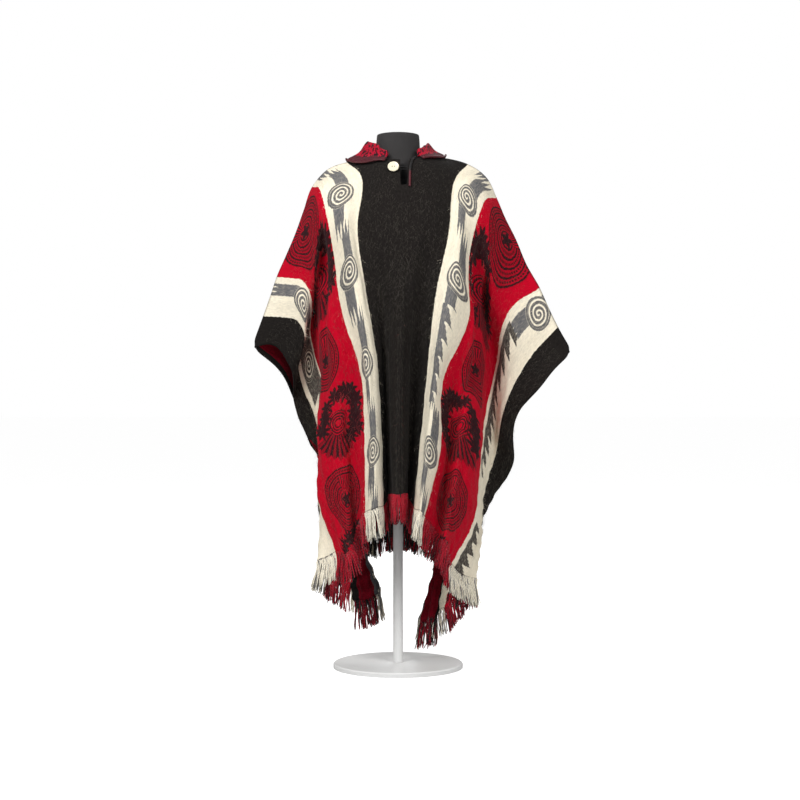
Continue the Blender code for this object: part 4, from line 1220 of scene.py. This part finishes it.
def make_nap(name, cloth, finish, seed):
    """Loose hairs on both sides of a panel, as narrow ribbons that lean along the warp."""
    dice = np.random.default_rng(seed)
    points = cloth["points"]
    normals = cloth["normals"]
    count, rows = points.shape[:2]
    vertices = []
    faces = []
    flats = []
    motifs = []
    places = cloth["places"].reshape(count, rows, 3)
    for _ in range(HAIRS):
        i = int(dice.integers(1, count - 1))
        j = int(dice.integers(6, rows - 1))
        side = 1.0 if dice.random() < OUTSIDE_HAIRS else -1.0
        if side < 0 and j < rows // 4:
            continue
        if abs(cloth["across"][i]) < 3 * SLIT_HALF and j < (SLIT_ROWS + 1) * ROWS_EACH:
            continue
        out = normals[i, j] * side
        warp = unit(points[i, j + 1] - points[i, j])
        weft = np.cross(out, warp)
        length = HAIR_LENGTH * dice.uniform(0.5, 1.5)
        lean = dice.uniform(-1.1, 1.1)
        rise = 0.10 + 0.90 * dice.random() ** 3
        start = points[i, j] + out * (FINE_CLOTH / 2 - 0.0003)
        way = unit(warp * math.cos(lean) + weft * math.sin(lean))
        first = len(vertices)
        for share in (0.0, 0.5, 1.0):
            lift = rise * length * math.sin(share * 2.2)
            curl = weft * HAIR_CURL * share**2 * dice.uniform(-1, 1)
            middle = start + way * length * share + out * lift + curl
            half = weft * HAIR_WIDTH * (1 - share * 0.7)
            vertices += [middle - half, middle + half]
            flats += [(cloth["across"][i], cloth["along"][i, j], side)] * 2
            motifs += [places[i, j]] * 2
        faces += [(first + k, first + k + 1, first + k + 3, first + k + 2) for k in (0, 2)]
    mesh = bpy.data.meshes.new(name)
    mesh.from_pydata([tuple(vertex) for vertex in vertices], [], faces)
    mesh.materials.append(finish)
    obj = link(bpy.data.objects.new(name, mesh))
    point_values(obj, "flat", flats)
    point_values(obj, "motif", motifs)
    point_values(obj, "lean", np.zeros((len(vertices), 3)))
    point_values(obj, "to_hem", np.full(len(vertices), 0.5), "FLOAT")
    return obj


# The knitted collar, finer than in the source.
FINE_STATIONS = 180
SECTION_STEPS = 30
ROLL_FROM = 0.80  # share of the collar's section where its dull rolled edge starts


def rounded(profile, steps):
    """A smooth line through a section's points, evenly spaced along it."""
    profile = np.array(profile)
    lengths = np.concatenate([[0.0], np.cumsum(np.linalg.norm(np.diff(profile, axis=0), axis=1))])
    fine = smooth_through(lengths, profile, np.linspace(0.0, lengths[-1], steps))
    return fine, lengths[-1]


def make_collar(finish):
    """Returns the collar and the line of its edge, which the cord follows."""
    table = np.array(COLLAR)
    angles = np.linspace(table[0, 0], table[-1, 0], FINE_STATIONS)
    sizes = smooth_through(table[:, 0], table[:, 1:], angles)
    points = []
    normals = []
    knit = []
    edge = []
    lift = CLOTH / 2 + KNIT / 2 + GAP
    around = 0.0
    for degrees, (height, lean, reach) in zip(angles, sizes):
        angle = math.radians(degrees)
        seam = ring(angle, 0.002)[0]
        rim, rim_normal = ring(angle, reach)
        base = seam + np.array((0.0, 0.0, CLOTH / 2 + GAP + SEAM_EASE))
        end = rim + rim_normal * (lift + COLLAR_EASE)
        away = end - base
        up = away[2]
        away[2] = 0.0
        out = np.linalg.norm(away)
        away /= out
        section, length = rounded(collar_profile(height, lean, out, up), SECTION_STEPS)
        flat = unit(np.gradient(section, axis=0))
        row = [base + away * a + np.array((0.0, 0.0, b)) for a, b in section]
        if points:
            around += float(np.linalg.norm(row[-1] - points[-1][-1]))
        share = np.linspace(0.0, 1.0, SECTION_STEPS)
        rolled = np.clip((share - ROLL_FROM) / 0.03, 0.0, 1.0)
        ripple = 0.0007 * np.sin(share * 40) * np.sin(degrees * 0.21)
        points.append([place + (np.array((0.0, 0.0, 1.0)) * wave) for place, wave in zip(row, ripple)])
        normals.append([-away * b + np.array((0.0, 0.0, a)) for a, b in flat])
        knit.append(np.stack([np.full(SECTION_STEPS, around), share * length, rolled], axis=1))
        outside, outside_normal = ring(angle, reach + KNIT / 2 + GAP + BINDING_RADIUS)
        edge.append(outside + outside_normal * (CLOTH / 2 + GAP + BINDING_RADIUS + COLLAR_EASE))
    points = np.array(points)
    obj = wall_mesh("knit_collar", points, np.array(normals), KNIT)
    obj.data.materials.append(finish)
    knit = np.array(knit).reshape(-1, 3)
    point_values(obj, "knit", np.concatenate([knit, knit]))
    return obj, edge


def cord_piece(name, path, radius, finish, sides=12):
    store = new_store()
    add_tube(store, path, [radius] * len(path), sides, 0.5)
    return tube_object(name, store, [finish])


def slit_path():
    """The line of the cord beside the slit, from the neck hole to just past the slit's foot."""
    path = []
    for along in np.linspace(HOLE_FRONT - 0.003, SLIT_FOOT + 0.006, 40):
        near_neck = (SLIT_FOOT - along) / (SLIT_FOOT - HOLE_FRONT)
        across = SLIT_HALF + SLIT_FACING + SLIT_FLARE * max(near_neck, 0.0) ** 4
        point, normal = cloth_point(FRONT_FOLDS, FRONT_HEM, across, along, True)
        path.append(point + normal * (CLOTH / 2 + GAP + BINDING_RADIUS))
    return path


def make_button(finish, cord):
    """The button with a raised rim, a dish and two holes, and the loop that holds it."""
    place, normal = cloth_point(FRONT_FOLDS, FRONT_HEM, BUTTON_ACROSS, BUTTON_ALONG, True)
    normal = unit(normal + np.array((0.0, -BUTTON_TILT, 0.0)))
    foot = place + normal * (CLOTH / 2 + BUTTON_GAP)
    rim = []
    for degrees in range(-60, 121, 15):
        angle = math.radians(degrees)
        radius = BUTTON_RADIUS - 0.0016 + 0.0016 * math.cos(angle)
        rim.append((radius, SHANK_LENGTH + BUTTON_THICK - 0.0018 + 0.0017 * math.sin(angle)))
    dish = []
    for share in (0.70, 0.50, 0.30):
        dish.append((BUTTON_RADIUS * share, SHANK_LENGTH + BUTTON_THICK * (0.72 + 0.10 * share)))
    under = [(SHANK_RADIUS, 0.0), (SHANK_RADIUS, SHANK_LENGTH), (BUTTON_RADIUS * 0.90, SHANK_LENGTH)]
    profile = under + rim + dish + [(0.0006, SHANK_LENGTH + BUTTON_THICK * 0.72)]
    button = turned("cream_disc", profile, 72, finish)
    facing = Vector(normal).to_track_quat("Z", "Y").to_matrix().to_4x4()
    button.matrix_world = Matrix.Translation(Vector(foot)) @ facing
    level = SHANK_LENGTH + BUTTON_THICK * 0.76
    eyes = []
    for k, across in enumerate((-0.0030, 0.0030)):
        eye = turned(f"button_eye_{k}", [(0.0013, level - 0.0006), (0.0013, level)], 20, cord)
        offset = Matrix.Translation(Vector((across, 0.0, 0.0)))
        eye.matrix_world = Matrix.Translation(Vector(foot)) @ facing @ offset
        eyes.append(eye)
    side, side_normal = cloth_point(FRONT_FOLDS, FRONT_HEM, SLIT_HALF + 0.001, BUTTON_ALONG, True)
    centre = foot + normal * SHANK_LENGTH * 0.45
    start = side + side_normal * (CLOTH / 2 + 2 * GAP + LOOP_RADIUS)
    right = unit(start - centre)
    up = unit(np.cross(right, normal))
    up *= math.copysign(1.0, up[2])
    path = [start + up * LOOP_APART]
    for degrees in range(90, 271, 12):
        angle = math.radians(degrees)
        path.append(centre + LOOP_APART * (math.cos(angle) * right + math.sin(angle) * up))
    path.append(start - up * LOOP_APART)
    return button, eyes, cord_piece("loop_cord", path, LOOP_RADIUS, cord, 10)


# The form's finer sections.
FORM_SIDES = 112
TORSO_RINGS = 90
NECK_RINGS = 30


def make_form(finish):
    """The torso and its neck with fine round sections, and a flat top with a rounded edge on the neck."""
    table = np.array(TORSO)
    heights = np.linspace(table[0, 0], table[-1, 0], TORSO_RINGS)
    sizes = smooth_through(table[:, 0], table[:, 1:], heights)
    points = []
    for height, (half_width, half_depth) in zip(heights, sizes):
        for k in range(FORM_SIDES):
            angle = 2 * math.pi * k / FORM_SIDES
            x = math.copysign(abs(math.cos(angle)) ** (2 / TORSO_POWER), math.cos(angle))
            y = math.copysign(abs(math.sin(angle)) ** (2 / TORSO_POWER), math.sin(angle))
            points.append((half_width * x, half_depth * y, height))
    torso = ringed("form_torso", points, FORM_SIDES, finish)
    neck_table = np.array(NECK)
    levels = np.linspace(neck_table[0, 0], neck_table[-1, 0] - 0.002, NECK_RINGS)
    radii = smooth_through(neck_table[:, 0], neck_table[:, 1], levels)
    top = neck_table[-1, 0]
    profile = [*zip(radii, levels), (radii[-1] - 0.0006, top - 0.0006), (radii[-1] - 0.003, top)]
    profile += [(radii[-1] - 0.012, top), (0.002, top)]
    neck = turned("form_neck", profile, FORM_SIDES, finish)
    return torso, neck


SHARP_FROM = math.radians(35)  # a steeper edge is shown sharp


def mark_sharp(obj):
    obj.data.set_sharp_from_angle(angle=SHARP_FROM)


def make_stage():
    mesh = bpy.data.meshes.new("floor")
    edges = ((-40, -40), (40, -40), (40, 60), (-40, 60))
    mesh.from_pydata([(x, y, -0.0005) for x, y in edges], [], [(0, 1, 2, 3)])
    floor = link(bpy.data.objects.new("floor", mesh))
    made, tree, shader = new_material("pale floor", 0.9, specular=0.1)
    shader.inputs["Base Color"].default_value = (0.62, 0.62, 0.62, 1.0)
    shader.inputs["Emission Color"].default_value = (1.0, 1.0, 1.0, 1.0)
    path = tree.nodes.new("ShaderNodeLightPath")
    glow = Field(tree, path.outputs["Is Camera Ray"]) * FLOOR_GLOW
    tree.links.new(glow.socket, shader.inputs["Emission Strength"])
    floor.data.materials.append(made)
    world = bpy.data.worlds.new("studio")
    bpy.context.scene.world = world
    world.use_nodes = True
    world.node_tree.nodes["Background"].inputs["Color"].default_value = (1.0, 1.0, 1.0, 1.0)
    tree = world.node_tree
    path = tree.nodes.new("ShaderNodeLightPath")
    strength = Field(tree, path.outputs["Is Camera Ray"]).pick(FILL, 1.0)
    tree.links.new(strength.socket, tree.nodes["Background"].inputs["Strength"])
    bpy.context.scene.view_settings.view_transform = "Standard"


# Soft lamps: place, aim, width, height, power.
LAMPS = (
    ((-1.4, -2.1, 2.8), (0.0, 0.0, 1.00), 1.2, 1.2, 86.0),
    ((1.8, -2.4, 2.1), (0.0, 0.0, 1.00), 1.2, 1.4, 44.0),
    ((0.3, 3.2, 2.6), (0.0, 0.0, 0.85), 1.6, 1.6, 60.0),
)
FILL = 0.30  # the surroundings' light, beside their plain white look
FLOOR_GLOW = 0.80  # makes the floor look as white as the surroundings, and lights nothing


def make_lights():
    for k, (place, aim, width, height, power) in enumerate(LAMPS):
        light = bpy.data.lights.new(f"softbox_{k}", "AREA")
        light.shape = "RECTANGLE"
        light.size = width
        light.size_y = height
        light.energy = power
        lamp = link(bpy.data.objects.new(f"softbox_{k}", light))
        lamp.location = place
        lamp.rotation_euler = (Vector(aim) - Vector(place)).to_track_quat("-Z", "Y").to_euler()


def make_camera():
    data = bpy.data.cameras.new("camera")
    data.lens = CAMERA_LENS
    data.sensor_width = SENSOR
    camera = link(bpy.data.objects.new("camera", data))
    camera.location = CAMERA_PLACE
    camera.rotation_euler = (math.pi / 2, 0.0, 0.0)
    bpy.context.scene.camera = camera


def corners(bounds):
    return [list(corner) for corner in bounds]


def main():
    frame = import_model()
    make_camera()
    make_stage()
    make_lights()
    alpaca = alpaca_material("brushed alpaca", 0.0, 0.03)
    # The hairs' finish pales their colour towards cream, a painted sheen.
    hair_with_painted_sheen = alpaca_material("alpaca hairs, painted sheen", 0.065, 0.08)
    jersey = jersey_material()
    lacquer = lacquer_material()
    binding = cord_material("dark red binding", CORD_RED)
    black_cord = cord_material("black cord", CORD_BLACK)
    yarns = [
        yarn_material("cream yarn", (0.86, 0.80, 0.66), 0.15),
        yarn_material("grey yarn", (0.24, 0.23, 0.22)),
        yarn_material("red yarn", (0.44, 0.004, 0.020)),
        yarn_material("deep red yarn", (0.20, 0.004, 0.014)),
        yarn_material("black yarn", (0.018, 0.014, 0.014)),
    ]
    front, front_cloth = make_panel("cloth_front", FRONT_FOLDS, FRONT_HEM, HOLE_FRONT, True, FRONT_RELIEF)
    back, back_cloth = make_panel("cloth_back", BACK_FOLDS, BACK_HEM, HOLE_BACK, False, BACK_RELIEF)
    for panel in (front, back):
        panel.data.materials.append(alpaca)
    front_fringe = make_fringe("strands_front", front_cloth, yarns, 11)
    back_fringe = make_fringe("strands_back", back_cloth, yarns, 12)
    front_nap = make_nap("nap_front", front_cloth, hair_with_painted_sheen, 21)
    back_nap = make_nap("nap_back", back_cloth, hair_with_painted_sheen, 22)
    collar, edge = make_collar(knit_material())
    collar_cord = cord_piece("edge_cord", edge, BINDING_RADIUS, binding)
    slit_finish = cord_material("slit cord", CORD_BLACK, CORD_FOOT, CORD_FOOT_FROM)
    slit_cord = cord_piece("slit_cord", slit_path(), BINDING_RADIUS, slit_finish)
    button, eyes, loop = make_button(ivory_material(), black_cord)
    torso, neck = make_form(jersey)
    for obj in (button, neck, *eyes):
        mark_sharp(obj)
    for node in ("stand_pole", "stand_base"):
        for slot in frame["nodes"][node].material_slots:
            slot.material = lacquer
    pieces = (
        (front, "woven_alpaca", ("poncho_front",)),
        (back, "woven_alpaca", ("poncho_back",)),
        (front_nap, "woven_alpaca", ()),
        (back_nap, "woven_alpaca", ()),
        (front_fringe, "fringe_yarn", ("fringe_front",)),
        (back_fringe, "fringe_yarn", ("fringe_back",)),
        (collar, "collar_knit", ("collar",)),
        (collar_cord, "binding_cord", ("collar_binding",)),
        (slit_cord, "loop_cord", ("slit_binding",)),
        (button, "cream_button", ("button",)),
        (loop, "loop_cord", ("button_loop",)),
        (torso, "form_cover", ("dress_form",)),
        (neck, "form_cover", ("dress_form",)),
        *((eye, "loop_cord", ()) for eye in eyes),
    )
    for piece, slot, nodes in pieces:
        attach(piece, "root")
        if nodes:
            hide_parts(*nodes)


main()
